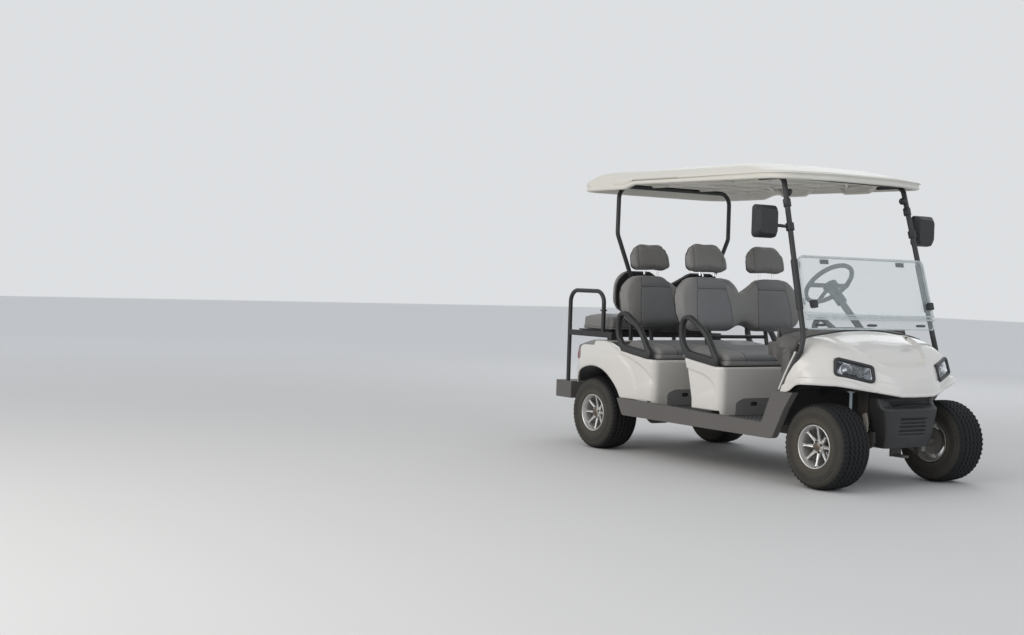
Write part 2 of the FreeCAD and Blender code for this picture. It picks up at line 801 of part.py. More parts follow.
rear_shell_shape = back_shell(rear_back_x, rear_back_low, rear_back_thickness, rear_shell_thickness,
                              rear_recline, rear_outline)
save("backrest_rear", [back_pad(rear_back_x, rear_back_low, rear_back_thickness, rear_recline,
        rear_outline)])
shells = [back_shell(x, back_low_z, back_thickness, shell_thickness, recline,
        back_outline) for x in row_back_x]
save("backrest_shells", shells + [rear_shell_shape])


# Tubes that carry the backrests: along the seat base, up behind the shell, joined by a cross bar
def seat_tubes(base_x, back_x):
    lean = math.radians(recline)
    behind = back_thickness + soft_gap + shell_thickness + seat_tube_radius + soft_gap
    foot_x = back_x - behind * math.cos(lean)
    foot_z = back_low_z + behind * math.sin(lean) * -1
    top_x = foot_x - 190 * math.sin(lean)
    top_z = foot_z + 190 * math.cos(lean)
    bend_z = seat_tube_z
    bend_x = foot_x + (foot_z - bend_z) * math.tan(lean)
    pieces = []
    for y in (-hump_y, hump_y):
        pieces.append(tube([
            (V(base_x - 270, y, seat_tube_z), 0), (V(bend_x, y, bend_z), 60), (V(top_x, y, top_z), 0)],
            seat_tube_radius))
    bar_x = foot_x + 22 * math.sin(lean) + 1
    pieces.append(rod(V(bar_x, -hump_y, foot_z - 22), V(bar_x, hump_y, foot_z - 22), 11))
    return fused(pieces)


save("seat_tubes", [seat_tubes(base, back) for base, back in zip(row_base_x, row_back_x)])

# Headrests on pairs of chrome posts
headrest_half_width = 155.0
headrest_low = 24.0
headrest_height = 182.0
headrest_depth = 76.0
post_radius = 6.0
post_spread = 55.0


def headrest_frame(back_x):
    """Where the top of the pad is: x of the pad's middle and z of its top after leaning."""
    lean = math.radians(recline)
    middle = -back_thickness / 2
    x = back_x + middle * math.cos(lean) - back_height * math.sin(lean)
    z = back_low_z + middle * math.sin(lean) + back_height * math.cos(lean)
    return x, z


def headrest(back_x, y):
    x, z = headrest_frame(back_x)
    rows = [
        (y - headrest_half_width + 8, z + headrest_low, 48),
        (y - headrest_half_width - 2, z + headrest_low + 100, 120),
        (y - headrest_half_width + 34, z + headrest_low + headrest_height, 74),
        (y + headrest_half_width - 34, z + headrest_low + headrest_height, 74),
        (y + headrest_half_width + 2, z + headrest_low + 100, 120),
        (y + headrest_half_width - 8, z + headrest_low, 48)]
    half = headrest_depth / 2
    low = z + headrest_low
    high = low + headrest_height
    pad = front_solid(rows, x - half, x + half)
    side = side_solid([
        (x - half, low, 22), (x + half, low, 26), (x + half - 12, high, 24), (x - half + 14, high, 24)],
        y - headrest_half_width - 20, y + headrest_half_width + 20)
    plan = plan_solid([
        (x - half, y - headrest_half_width, 34), (x - half, y + headrest_half_width, 34),
        (x + half, y + headrest_half_width, 34), (x + half, y - headrest_half_width, 34)], low - 20,
        high + 20)
    return leaned(pad.common(side).common(plan), x, z, recline)


def headrest_post(back_x, y):
    x, z = headrest_frame(back_x)
    lean = math.radians(recline)
    # The hump falls away by a millimetre at the inner posts
    above = 0.6 if abs(y) > hump_y else -0.4
    low = V(x - above * math.sin(lean), y, z + above * math.cos(lean))
    high = V(x - (headrest_low - soft_gap) * math.sin(lean), y,
            z + (headrest_low - soft_gap) * math.cos(lean))
    return rod(low, high, post_radius)


headrests = []
posts = []
for back_x in row_back_x:
    for side in (-1, 1):
        headrests.append(headrest(back_x, side * hump_y))
        for offset in (-post_spread, post_spread):
            posts.append(headrest_post(back_x, side * hump_y + offset))
save("headrests", headrests)
save("headrest_posts", posts)


# Armrests: closed loops on the shoulders of the seat bases
arm_band = 34.0
# Outline from the front foot: offset behind the seat base's front, height, corner radius
arm_rows = ((44, 592, 12), (330, 630, 60), (392, 740, 160), (384, 884, 50), (300, 888, 70), (150, 800, 220),
            (36, 640, 20))


def armrest(base_x):
    rows = [(base_x - back, z, radius) for back, z, radius in arm_rows]
    outer = side_face(rows, arm_y - arm_half_width)
    ring = outer.cut(outer.makeOffset2D(-arm_band))
    loop = ring.extrude(V(0, 2 * arm_half_width, 0))
    return loop


def base_shoulder(body):
    """Trims a loop's foot to stand just on the body below it."""
    grown = body.copy()
    grown.translate(V(0, 0, soft_gap))
    return grown


arms = []
for base_x, body in zip(row_base_x, (base_shape, rear_shape)):
    trimmed = armrest(base_x).cut(base_shoulder(body)).cut(body)
    trimmed = max(trimmed.Solids, key=lambda solid: solid.Volume)
    arms += both(trimmed)
save("armrests", arms)


# Roof: a shallow moulded lid with a deeper rim behind, recessed below
roof_half_width = 594.0
roof_front_x = -186.0
roof_rear_x = -2153.0
roof_rim_z = 1668.0
roof_rear_rim_z = 1641.0
roof_jog_front_x = -1557.0
roof_jog_rear_x = -1663.0
# Levels of the lid: height, inset at the sides, at the front and at the rear, corner radius
roof_levels = (
    (1636.0, 2.0, 14.0, 6.0, 150.0), (1690.0, 0.0, 0.0, 0.0, 150.0), (1712.0, 14.0, 70.0, 30.0, 140.0),
    (1742.0, 52.0, 220.0, 80.0, 130.0), (1762.0, 118.0, 330.0, 150.0, 120.0),
    (1772.0, 250.0, 460.0, 280.0, 90.0))


def roof_body(inset):
    wires = []
    for z, side, front, rear, radius in roof_levels:
        half = roof_half_width - side - inset
        x0 = roof_front_x - front - inset
        x1 = roof_rear_x + rear + inset
        back = x0 - 0.19 * half
        flat = 0.42 * half
        corners = [
            (V(back, half, z - inset), radius), (V(x0, flat, z - inset), 300),
            (V(x0, -flat, z - inset), 300),
            (V(back, -half, z - inset), radius), (V(x1, -half, z - inset), radius),
            (V(x1, half, z - inset), radius)]
        wires.append(Part.Wire(corner_edges(corners, True)))
    return Part.makeLoft(wires, True, True)


def roof():
    lid = roof_body(0)
    below = side_solid([
        (roof_rear_x - 50, 1500, 0), (roof_rear_x - 50, roof_rear_rim_z, 0),
        (roof_jog_rear_x, roof_rear_rim_z, 40),
        (roof_jog_front_x, roof_rim_z, 40), (0, roof_rim_z - 14, 0), (0, 1500, 0)], -800, 800)
    lid = lid.cut(below)
    # The liner is a flat ceiling set up inside the rim
    ceiling = plan_solid([
        (roof_front_x - 150, 530, 60), (roof_front_x - 80, 230, 200), (roof_front_x - 80, -230, 200),
        (roof_front_x - 150, -530, 60), (roof_rear_x + 60, -548, 90), (roof_rear_x + 60, 548, 90)],
        1500, roof_ceiling_z)
    lid = lid.cut(ceiling)
    return lid


roof_shape = roof()
save("roof", [roof_shape])


# Rear hoop: one tube over the seats with its feet on the rear deck
hoop_radius = 14.0
hoop_x = -1872.0
hoop_top_z = roof_ceiling_z - hoop_radius - 0.5
hoop_half_width = 466.0


hoop_foot_x = -1875.0
hoop_foot_z = rear_peak_z + 4.5


def rear_hoop():
    side = [
        (V(hoop_foot_x, 330, hoop_foot_z), 0), (V(hoop_foot_x, 340, 1090), 200),
        (V(hoop_x, hoop_half_width, 1372), 80), (V(hoop_x, hoop_half_width - 2, hoop_top_z), 80)]
    other = [(V(point.x, -point.y, point.z), radius) for point, radius in reversed(side)]
    return tube(side + other, hoop_radius)


save("rear_hoop", [rear_hoop()])


# Windscreen: a fixed pane in front of the struts and a second pane folded down over it
pane_thickness = 5.0
sleeve_wall = 5.0
pane_gap = 0.6
pane_top_z = 1230.0
fixed_low_z = 837.0
folded_low_z = 898.0
pane_spacing = 13.0
strut_run = V(strut_top_x - strut_low_x, 0, strut_top_z - strut_low_z)
strut_run.normalize()
pane_ahead = V(strut_run.z, 0, -strut_run.x)
pane_offset = strut_radius + sleeve_wall + pane_gap


def strut_point(z):
    """The strut's centre line, in side view, at a height."""
    share = (z - strut_low_z) / (strut_top_z - strut_low_z)
    return V(strut_low_x + (strut_top_x - strut_low_x) * share, 0, z)


def strut_y(z):
    share = (z - strut_low_z) / (strut_top_z - strut_low_z)
    return strut_waist_y + (strut_top_y - strut_waist_y) * share


def pane(low_z, high_z, ahead):
    low = strut_point(low_z) + pane_ahead * ahead
    high = strut_point(high_z) + pane_ahead * ahead
    across = V(0, 1, 0)
    low_half = strut_y(low_z) - 6
    high_half = strut_y(high_z) - 6
    corners = [
        (low - across * low_half, 12), (low + across * low_half, 12),
        (high + across * high_half, 25), (high - across * high_half, 25)]
    face = Part.Face(Part.Wire(corner_edges(corners, True)))
    return face.extrude(pane_ahead * pane_thickness)


fixed_pane = pane(fixed_low_z, pane_top_z, pane_offset)
folded_pane = pane(folded_low_z, pane_top_z + 4, pane_offset + pane_spacing)
save("windscreen_fixed", [fixed_pane])
save("windscreen_folded", [folded_pane])

# Sleeves on the struts behind the fixed pane, hinges between the panes and the two catches
sleeve_low_z = 950.0
sleeve_high_z = 1216.0
catch_z = 965.0
catch_y = 459.0


def on_pane(z, y, ahead):
    return strut_point(z) + pane_ahead * ahead + V(0, y, 0)


def slanted_block(z, y, ahead0, ahead1, half_width, half_height):
    """A block square to the panes, from one distance ahead of the strut line to another."""
    base = on_pane(z, y, ahead0)
    side = V(0, half_width, 0)
    rise = strut_run * half_height
    corners = [base - side - rise, base + side - rise, base + side + rise, base - side + rise]
    face = Part.Face(Part.Wire(corner_edges([(corner, 0) for corner in corners], True)))
    return face.extrude(pane_ahead * (ahead1 - ahead0))


def windscreen_clips():
    low = strut_point(sleeve_low_z) + V(0, strut_y(sleeve_low_z), 0)
    high = strut_point(sleeve_high_z) + V(0, strut_y(sleeve_high_z), 0)
    sleeve = rod(low, high, strut_radius + sleeve_wall)
    for z in (sleeve_low_z + 40, sleeve_high_z - 30):
        sleeve = sleeve.fuse(slanted_block(z, strut_y(z) - 14, 4, pane_offset - 0.4, 14, 18))
    sleeve = sleeve.cut(rod(low, high, strut_radius + running_gap))
    between = pane_offset + pane_thickness + 0.3
    hinge = slanted_block(pane_top_z - 26, 300, between, pane_offset + pane_spacing - 0.3, 30, 12)
    front = pane_offset + pane_spacing + pane_thickness + 0.3
    catch = slanted_block(catch_z, catch_y, front, front + 10, 9, 10)
    catch = catch.fuse(slanted_block(catch_z, catch_y, front + 10, front + 36, 16, 20)).removeSplitter()
    return both(sleeve) + both(hinge) + both(catch)


save("windscreen_clips", windscreen_clips())

# Mirrors: a tapered housing on a short arm, clamped round each strut, and a glass that faces back
mirror_z = 1421.0
mirror_x = -336.0
mirror_inner_y = 543.0
mirror_outer_y = 710.0
mirror_half_height = 90.0
mirror_depth = 52.0
clamp_z = 1396.0


def mirror_housing():
    middle_y = (mirror_inner_y + mirror_outer_y) / 2
    half = (mirror_outer_y - mirror_inner_y) / 2

    def ring(x, shrink, radius):
        rows = [(middle_y - half + shrink, mirror_z - mirror_half_height + shrink, radius),
                (middle_y + half - shrink, mirror_z - mirror_half_height + shrink * 1.2, radius),
                (middle_y + half - shrink, mirror_z + mirror_half_height - shrink * 1.2, radius),
                (middle_y - half + shrink, mirror_z + mirror_half_height - shrink, radius)]
        return Part.Wire(corner_edges([(V(x, y, z), r) for y, z, r in rows], True))
    rear_x = mirror_x - mirror_depth / 2
    cup = Part.makeLoft([ring(rear_x, 0, 26), ring(rear_x + 26, 3, 26),
            ring(rear_x + mirror_depth, 22, 22)], True, True)
    recess = Part.makeLoft([ring(rear_x - 1, 7, 20), ring(rear_x + 8, 7, 20)], True, True)
    cup = cup.cut(recess)
    strut_at = strut_point(clamp_z) + V(0, strut_y(clamp_z), 0)
    strut_next = strut_point(clamp_z + 100) + V(0, strut_y(clamp_z + 100), 0)
    run = strut_next - strut_at
    run.normalize()
    clamp = rod(strut_at - run * 20, strut_at + run * 20, strut_radius + 8)
    arm = rod(strut_at, V(mirror_x + 4, mirror_inner_y + 12, clamp_z + 6), 9)
    hole = rod(strut_at - run * 80, strut_at + run * 80, strut_radius + running_gap)
    return fused([cup, clamp, arm]).cut(hole).cut(recess), ring(rear_x + 2, 7.6, 19.4)


housing_shape, glass_ring = mirror_housing()
glass_shape = Part.Face(glass_ring).extrude(V(5.4, 0, 0))
save("mirror_housings", both(housing_shape))
save("mirror_glasses", both(glass_shape))


# Rear bench: side rails and cross bars on the tail, held at the back by the grab rails
seat_rail_y = 450.0
seat_rail_half = 13.0
seat_rail_low = 704.0
seat_rail_high = 740.0
rail_front_x = -1905.0
grab_rear_x = -2385.0
flip_x = -2312.0
grab_front_x = -2014.0
grab_top_z = 1002.0
grab_radius = 14.0
step_top_z = 396.0
step_bottom_z = 284.0
flip_gap = 0.3


def rear_seat_frame():
    rear_end = grab_rear_x + grab_radius + running_gap
    side = block(rear_end, rail_front_x, seat_rail_y - seat_rail_half, seat_rail_y + seat_rail_half,
                 seat_rail_low, seat_rail_high)
    foot = block(rail_front_x - 44, rail_front_x, 380, seat_rail_y + seat_rail_half, 640, seat_rail_high)
    foot = foot.cut(base_shoulder(rear_shape)).cut(rear_block(0))
    foot = max(foot.Solids, key=lambda solid: solid.Volume)
    pieces = both(fused([side, foot]))
    for x in (rail_front_x - 44, -2100, flip_x + 20):
        pieces.append(block(x, x + 30, -seat_rail_y, seat_rail_y, seat_rail_high - 30, seat_rail_high))
    # Two short posts carry the rear backrest, along the front of its shell
    lean = math.radians(-rear_recline)
    behind = rear_shell_thickness + soft_gap + 10.5 - rear_back_thickness
    for y in (-hump_y, hump_y):
        def along(height):
            return V(rear_back_x + behind / math.cos(lean) + height * math.tan(lean), y,
                    rear_back_low + height)
        pieces.append(tube([
            (V(rail_front_x - 29, y, seat_rail_high - 12), 0), (along(-40), 60), (along(130), 0)], 10))
    return fused(pieces)


def grab_rail():
    foot = V(grab_rear_x, seat_rail_y, step_top_z + soft_gap)
    return fused([tube([
        (foot, 0), (V(grab_rear_x, seat_rail_y, grab_top_z), 78),
        (V(grab_front_x, seat_rail_y, grab_top_z), 78),
        (V(grab_front_x, seat_rail_y, seat_rail_high + 0.3), 0)], grab_radius),
        Part.makeCylinder(grab_radius + 8, 9, V(grab_front_x, seat_rail_y, 874))])


rear_frame_shape = rear_seat_frame()
save("rear_seat_frame", [rear_frame_shape])
save("grab_rails", both(grab_rail()))

# Footstep: a deep box across the tail, open below, on the ends of the frame
step_wall = 5.0
footstep_box = block(step_rear_x, step_front_x, -step_half_width, step_half_width, step_bottom_z, step_top_z)
footstep_hollow = block(step_rear_x + step_wall, step_front_x - step_wall, -step_half_width + step_wall,
                        step_half_width - step_wall, step_bottom_z - 1, step_top_z - step_wall)
footstep_shape = footstep_box.cut(footstep_hollow)
save("footstep", [footstep_shape])

# The rear cushion lies on a deck board, and both flip over backwards about the board's rear edge
flip_z = 748.0
deck_half_width = 424.0
deck_thickness = 9.0
rear_cushion_front = -1976.0
rear_cushion_half = 418.0
rear_cushion_top = 846.0
deck_low = seat_rail_high + flip_gap


def rear_cushion():
    low = deck_low + deck_thickness
    half = rear_cushion_half
    pad = side_solid([
        (flip_x + 10, low, 12), (flip_x + 8, rear_cushion_top - 12, 34), (-2150, rear_cushion_top + 2, 300),
        (rear_cushion_front, rear_cushion_top - 6, 30), (rear_cushion_front, low, 10)], -half, half)
    crown = front_solid([
        (-half, 600, 0), (-half, rear_cushion_top - 14, 24), (-half + 50, rear_cushion_top + 3, 90),
        (half - 50, rear_cushion_top + 3, 90), (half, rear_cushion_top - 14, 24), (half, 600, 0)],
        flip_x - 20, rear_cushion_front + 20)
    plan = plan_solid([
        (flip_x + 8, -half, 36), (flip_x + 8, half, 36), (rear_cushion_front, half, 30),
        (rear_cushion_front, -half, 30)], 600, 900)
    return pad.common(crown).common(plan)


save("rear_deck", [block(flip_x - 4, rear_cushion_front + 4, -deck_half_width, deck_half_width,
                         deck_low, deck_low + deck_thickness)])
save("rear_cushion", [rear_cushion()])


# Steering column and wheel on the left
wheel_centre = V(-745.0, 280.0, 1095.0)
column_low = V(-402.0, 280.0, 762.0)
wheel_radius = 154.0
wheel_rim_radius = 14.0
column_radius = 20.0
column_run = column_low - wheel_centre
column_run.normalize()
column_gap = 46.0


def steering_column():
    start = wheel_centre + column_run * column_gap
    end = column_low + column_run * 90
    shaft = rod(start, end, column_radius)
    shroud = rod(start + column_run * 4, start + column_run * 110, column_radius + 12)
    return fused([shaft, shroud]).cut(dash_grown())


def dash_grown():
    grown = dash_shape.copy()
    grown.translate(V(-soft_gap, 0, 0))
    return grown.fuse(block(-420, -200, 200, 360, 590, 700))


def steering_wheel():
    """Built flat about its own axis, then stood on the column."""
    wheel = Part.makeTorus(wheel_radius, wheel_rim_radius)
    hub = Part.makeCylinder(46, 20, V(0, 0, -32))
    neck = Part.makeCylinder(26, 16, V(0, 0, -column_gap + 0.5))
    pieces = [wheel, hub, neck]
    for angle in (0, 90, 180):
        spoke = block(30, wheel_radius - wheel_rim_radius + 6, -15, 15, -20, -12)
        drop = spoke.copy()
        drop.rotate(V(0, 0, 0), V(0, 0, 1), angle)
        pieces.append(drop)
    # Spokes rise to the rim
    for angle in (0, 90, 180):
        rise = block(wheel_radius - 16, wheel_radius, -15, 15, -20, -4)
        rise.rotate(V(0, 0, 0), V(0, 0, 1), angle)
        pieces.append(rise)
    whole = fused(pieces)
    lean = math.degrees(math.atan2(column_run.x, -column_run.z))
    whole.rotate(V(0, 0, 0), V(0, 0, 1), 90)
    whole.rotate(V(0, 0, 0), V(0, 1, 0), -lean)
    whole.translate(wheel_centre)
    return whole


column_shape = steering_column()
save("steering_column", [max(column_shape.Solids, key=lambda solid: solid.Volume)])
save("steering_wheel", [steering_wheel()])


# Pedals: two hung pads on arms from the floor in front of the driver
def pedal(y, half_width, pad_x, pad_z, foot_x):
    pad = block(-9, 9, -half_width, half_width, -52, 52)
    pad.rotate(V(0, 0, 0), V(0, 1, 0), 55)
    pad.translate(V(pad_x, y, pad_z))
    foot = block(foot_x - 26, foot_x + 26, y - 20, y + 20, floor_top, floor_top + 10)
    arm = rod(V(foot_x, y, floor_top + 4), V(pad_x, y, pad_z), 9)
    return fused([pad, foot, arm]).cut(block(-1000, 0, -600, 600, 0, floor_top))


save("pedals", [pedal(225, 42, -520, 498, -440), pedal(345, 30, -500, 478, -430)])


# Front suspension: yokes with kingpins, lower arms and brackets under the front rails
knuckle_low = 175.0
knuckle_high = 285.0
knuckle_radius = 22.0
pin_radius = 8.0
lug_gap = 1.5
lug_height = 14.0
yoke_inner_y = 245.0
yoke_outer_y = 265.0
arm_pivot_x = 76.0


def suspension_side():
    top_low = knuckle_high + lug_gap
    low_high = knuckle_low - lug_gap
    yoke = block(-18, 18, yoke_inner_y, yoke_outer_y, low_high - lug_height, top_low + lug_height)
    top = block(-18, 18, yoke_inner_y, kingpin_y, top_low, top_low + lug_height)
    low = block(-18, 18, yoke_inner_y, kingpin_y, low_high - lug_height, low_high)
    top = top.fuse(Part.makeCylinder(18, lug_height, V(0, kingpin_y, top_low)))
    low = low.fuse(Part.makeCylinder(18, lug_height, V(0, kingpin_y, low_high - lug_height)))
    pin = Part.makeCylinder(pin_radius, top_low + 2 * lug_height - low_high,
            V(0, kingpin_y, low_high - lug_height))
    pieces = [yoke, top, low, pin]
    for way in (-1, 1):
        bracket = block(way * arm_pivot_x - 11, way * arm_pivot_x + 11, front_rail_outer - 40,
                front_rail_outer - 4,
                        rail_bottom - 22, rail_bottom)
        arm = rod(V(way * arm_pivot_x, front_rail_outer - 20, rail_bottom - 12),
                V(way * 8, yoke_inner_y + 8, 172), 10)
        pieces += [bracket, arm]
    return fused(pieces)


save("front_suspension", both(suspension_side()))

# Shock absorbers stand on the yokes under the shelves of the towers
shock_low_z = knuckle_high + lug_gap + lug_height + 0.4
shock_high_z = tower_top - tower_plate - 0.4


def shock():
    y = kingpin_y - 8
    body = Part.makeCylinder(15, 95, V(4, y, shock_low_z))
    stem = Part.makeCylinder(8, shock_high_z - shock_low_z, V(4, y, shock_low_z))
    cap = Part.makeCylinder(19, 8, V(4, y, shock_high_z - 8))
    return fused([body, stem, cap])


save("shocks", both(shock()))


# Steering knuckles: a barrel on the kingpin, a spindle with its drum, and an arm back to the tie rod
hub_inner_offset = 22.0
hub_outer_offset = 64.0
drum_radius = 74.0
arm_low = 195.0
arm_high = 210.0
stud_radius = 6.0
stud_top = 240.0


def knuckle():
    barrel = Part.makeCylinder(knuckle_radius, knuckle_high - knuckle_low, V(0, kingpin_y, knuckle_low))
    across = V(0, 1, 0)
    stub = Part.makeCylinder(20, front_half_track + hub_inner_offset - kingpin_y - 1,
            V(0, kingpin_y, axle_z), across)
    spindle = Part.makeCylinder(spindle_radius, front_half_track + hub_outer_offset - kingpin_y - 4,
                                V(0, kingpin_y, axle_z), across)
    drum = Part.makeCylinder(drum_radius, 16, V(0, front_half_track - 78, axle_z), across)
    arm = block(-steer_arm_length, 0, kingpin_y - 9, kingpin_y + 9, arm_low, arm_high)
    arm = arm.fuse(Part.makeCylinder(12, arm_high - arm_low, V(-steer_arm_length, kingpin_y, arm_low)))
    stud = Part.makeCylinder(stud_radius, stud_top - arm_low, V(-steer_arm_length, kingpin_y, arm_low))
    whole = fused([barrel, stub, spindle, drum, arm, stud])
    return whole.cut(Part.makeCylinder(pin_radius + running_gap, 200, V(0, kingpin_y, 120)))


knuckle_shape = knuckle()
save("knuckle_left", [knuckle_shape])
save("knuckle_right", [mirrored(knuckle_shape)])

# Tie rod with wide eyes round the studs, and the rack housing that it slides through
eye_inner = 24.0
eye_outer = 30.0
eye_low = 218.0
eye_high = 238.0
tie_radius = 9.0
tie_z = (eye_low + eye_high) / 2


def tie_rod():
    pieces = [rod(V(rack_x, -kingpin_y + 26, tie_z), V(rack_x, kingpin_y - 26, tie_z), tie_radius)]
    for side in (-1, 1):
        pieces.append(Part.makeCylinder(eye_outer, eye_high - eye_low, V(rack_x, side * kingpin_y, eye_low)))
    whole = fused(pieces)
    for side in (-1, 1):
        whole = whole.cut(Part.makeCylinder(eye_inner, 60, V(rack_x, side * kingpin_y, eye_low - 20)))
    return whole


def steering_rack():
    housing = rod(V(rack_x, -120, tie_z), V(rack_x, 120, tie_z), 22)
    saddles = [block(rack_x - 16, rack_x + 16, y - 16, y + 16, tie_z, rail_bottom + 10) for y in (-80, 80)]
    bore = rod(V(rack_x, -200, tie_z), V(rack_x, 200, tie_z), tie_radius + running_gap)
    return fused([housing] + saddles).cut(bore)


save("tie_rod", [tie_rod()])
save("steering_rack", [steering_rack()])


# Rear axle with its motor, and leaf springs that carry the rails
axle_tube_radius = 32.0
spring_y = main_rail_y
spring_half_width = 22.0
spring_eye_x = 255.0


def rear_axle():
    across = V(0, 1, 0)
    hub_end = rear_half_track + hub_outer_offset - 4
    tube_end = rear_half_track - 95
    pieces = [
        Part.makeCylinder(axle_tube_radius, 2 * tube_end, V(rear_axle_x, -tube_end, axle_z), across),
        Part.makeCylinder(84, 104, V(rear_axle_x, -94, axle_z), across),
        Part.makeCylinder(78, 190, V(rear_axle_x, 10, axle_z), across),
        Part.makeCylinder(spindle_radius, 2 * hub_end, V(rear_axle_x, -hub_end, axle_z), across)]
    inner_hub = rear_half_track + hub_inner_offset - 1
    pieces.append(Part.makeCylinder(20, 2 * inner_hub, V(rear_axle_x, -inner_hub, axle_z), across))
    for side in (-1, 1):
        y = side * (rear_half_track - 86) - 10
        pieces.append(Part.makeCylinder(drum_radius, 20, V(rear_axle_x, y, axle_z), across))
        pad_y = side * spring_y
        pieces.append(block(rear_axle_x - 40, rear_axle_x + 40, pad_y - 26, pad_y + 26, axle_z + 20,
                axle_z + 36))
    return fused(pieces)


def leaf_spring():
    low = axle_z + 36
    eye_z = rear_rail_bottom - 14

    def leaf(bottom, reach, rise):
        start = V(rear_axle_x - reach, 0, bottom + rise)
        end = V(rear_axle_x + reach, 0, bottom + rise)
        lower = Part.Arc(start, V(rear_axle_x, 0, bottom), end).toShape()
        upper = Part.Arc(start + V(0, 0, 8), V(rear_axle_x, 0, bottom + 8), end + V(0, 0, 8)).toShape()
        first = Part.LineSegment(start, start + V(0, 0, 8)).toShape()
        last = Part.LineSegment(end, end + V(0, 0, 8)).toShape()
        face = Part.Face(Part.Wire([lower, last, upper, first]))
        face.translate(V(0, spring_y - spring_half_width, 0))
        return face.extrude(V(0, 2 * spring_half_width, 0))
    rise = eye_z - low - 20
    pieces = [leaf(low + 16, spring_eye_x, rise), leaf(low + 8, 180, rise * 0.46),
            leaf(low, 110, rise * 0.15)]
    for way in (-1, 1):
        x = rear_axle_x + way * spring_eye_x
        pieces.append(rod(V(x, spring_y - 22, eye_z), V(x, spring_y + 22, eye_z), 12))
        pieces.append(block(x - 10, x + 10, spring_y - 22, spring_y + 22, eye_z, rear_rail_bottom))
    pieces.append(block(rear_axle_x - 36, rear_axle_x + 36, spring_y - 24, spring_y + 24, low, low + 28))
    return fused(pieces)


save("rear_axle", [rear_axle()])
save("rear_springs", both(leaf_spring()))


# Wheels: a tyre and an eight-spoke rim at each corner
spoke_count = 8
spoke_inner = 30.0
spoke_outer = 100.0
disc_offset = 58.0
bead_radius = rim_radius + running_gap
tyre_side = tyre_width / 2
shoulder = 10.0
tyre_rows = [
    (-tyre_side, bead_radius, 0), (-tyre_side, tyre_radius - shoulder, 0),
    (shoulder - tyre_side, tyre_radius, 0),
    (tyre_side - shoulder, tyre_radius, 0), (tyre_side, tyre_radius - shoulder, 0),
    (tyre_side, bead_radius, 0)]
rim_side = rim_width / 2
rim_rows = [
    (-rim_side, rim_radius - 6, 0), (-rim_side, rim_radius, 0), (rim_side, rim_radius, 0),
    (rim_side, rim_radius - 6, 0), (rim_side - 14, rim_radius - 15, 0), (14 - rim_side, rim_radius - 15, 0)]


def tyre():
    return turned(tyre_rows, 0, 0, 0)


def rim():
    """Outer side towards positive y."""
    across = V(0, 1, 0)
    pieces = [turned(rim_rows, 0, 0, 0)]
    hub = Part.makeCylinder(36, hub_outer_offset + 10 - hub_inner_offset, V(0, hub_inner_offset, 0), across)
    cap = Part.makeCylinder(24, 10, V(0, hub_outer_offset + 8, 0), across)
    pieces += [hub, cap]
    for index in range(spoke_count):
        ends = []
        for half, inner_face, outer_face, height in (
                (13, disc_offset - 12, disc_offset + 8, spoke_inner),
                (9, disc_offset - 2, disc_offset + 14, spoke_outer + 6)):
            corners = [V(-half, inner_face, height), V(half, inner_face, height),
                       V(half, outer_face, height), V(-half, outer_face, height)]
            ends.append(Part.makePolygon(corners + corners[:1]))
        spoke = Part.makeLoft(ends, True, True)
        spoke.rotate(V(0, 0, 0), across, index * 360 / spoke_count)
        pieces.append(spoke)
    whole = fused(pieces)
    bore = Part.makeCylinder(spindle_radius + running_gap, hub_outer_offset, V(0, 0, 0), across)
    return whole.cut(bore)


tyre_shape = tyre()
rim_shape = rim()
# Corners: name, x, half track, side
wheel_corners = (
    ("front_left", 0.0, front_half_track, 1), ("front_right", 0.0, front_half_track, -1),
    ("rear_left", rear_axle_x, rear_half_track, 1), ("rear_right", rear_axle_x, rear_half_track, -1))
for corner, x, half_track, side in wheel_corners:
    for kind, shape in (("tyre", tyre_shape), ("rim", rim_shape)):
        placed = shape.copy()
        placed.translate(V(x, half_track, axle_z))
        save(kind + "_" + corner, [placed if side == 1 else mirrored(placed)])


# Wheel liners: a bent sheet over each wheel under the painted fenders
liner_thickness = 4.0
liner_gap = 0.5


def rear_liner():
    """A half drum just inside the arch, with its inner wall."""
    drum = arch_cutter(arch_radius - liner_gap, well_inner_y - 5 + liner_gap, 600)
    hollow = arch_cutter(arch_radius - liner_gap - liner_thickness, well_inner_y - 5 + liner_thickness, 600)
    sheet = drum.cut(hollow).cut(block(-2400, -1500, 0, 700, 0, tail_bottom))
    sheet = sheet.common(rear_block(body_wall + liner_gap))
    return max(sheet.Solids, key=lambda solid: solid.Volume)


def front_liner():
    """A bent sheet between the front tyre and the cowl, from the shelf of the tower outwards."""
    rows = [(-206, 480), (-170, 520), (-110, 548), (0, 556), (110, 548)]
    outer = [(x, z, 0) for x, z in rows]
    inner = [(x, z - liner_thickness, 0) for x, z in reversed(rows)]
    sheet = side_solid(outer + inner, kingpin_y + 10, 540)
    wall = side_solid(outer + [(110, tower_top + 0.5, 0), (-40, tower_top + 0.5, 0), (-206, 470, 0)],
            kingpin_y + 10, kingpin_y + 14)
    plan = plan_solid([
        (-300, 200, 0), (100, 200, 0), (96, 330, 0), (50, 430, 0), (10, 490, 0), (-30, 540, 0),
        (-300, 540, 0)],
        300, 700)
    return fused([sheet, wall]).common(plan)


save("wheel_liners", both(rear_liner()) + both(front_liner()))
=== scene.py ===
import math

import bmesh
import bpy
import numpy as np
from mathutils import Matrix, Vector


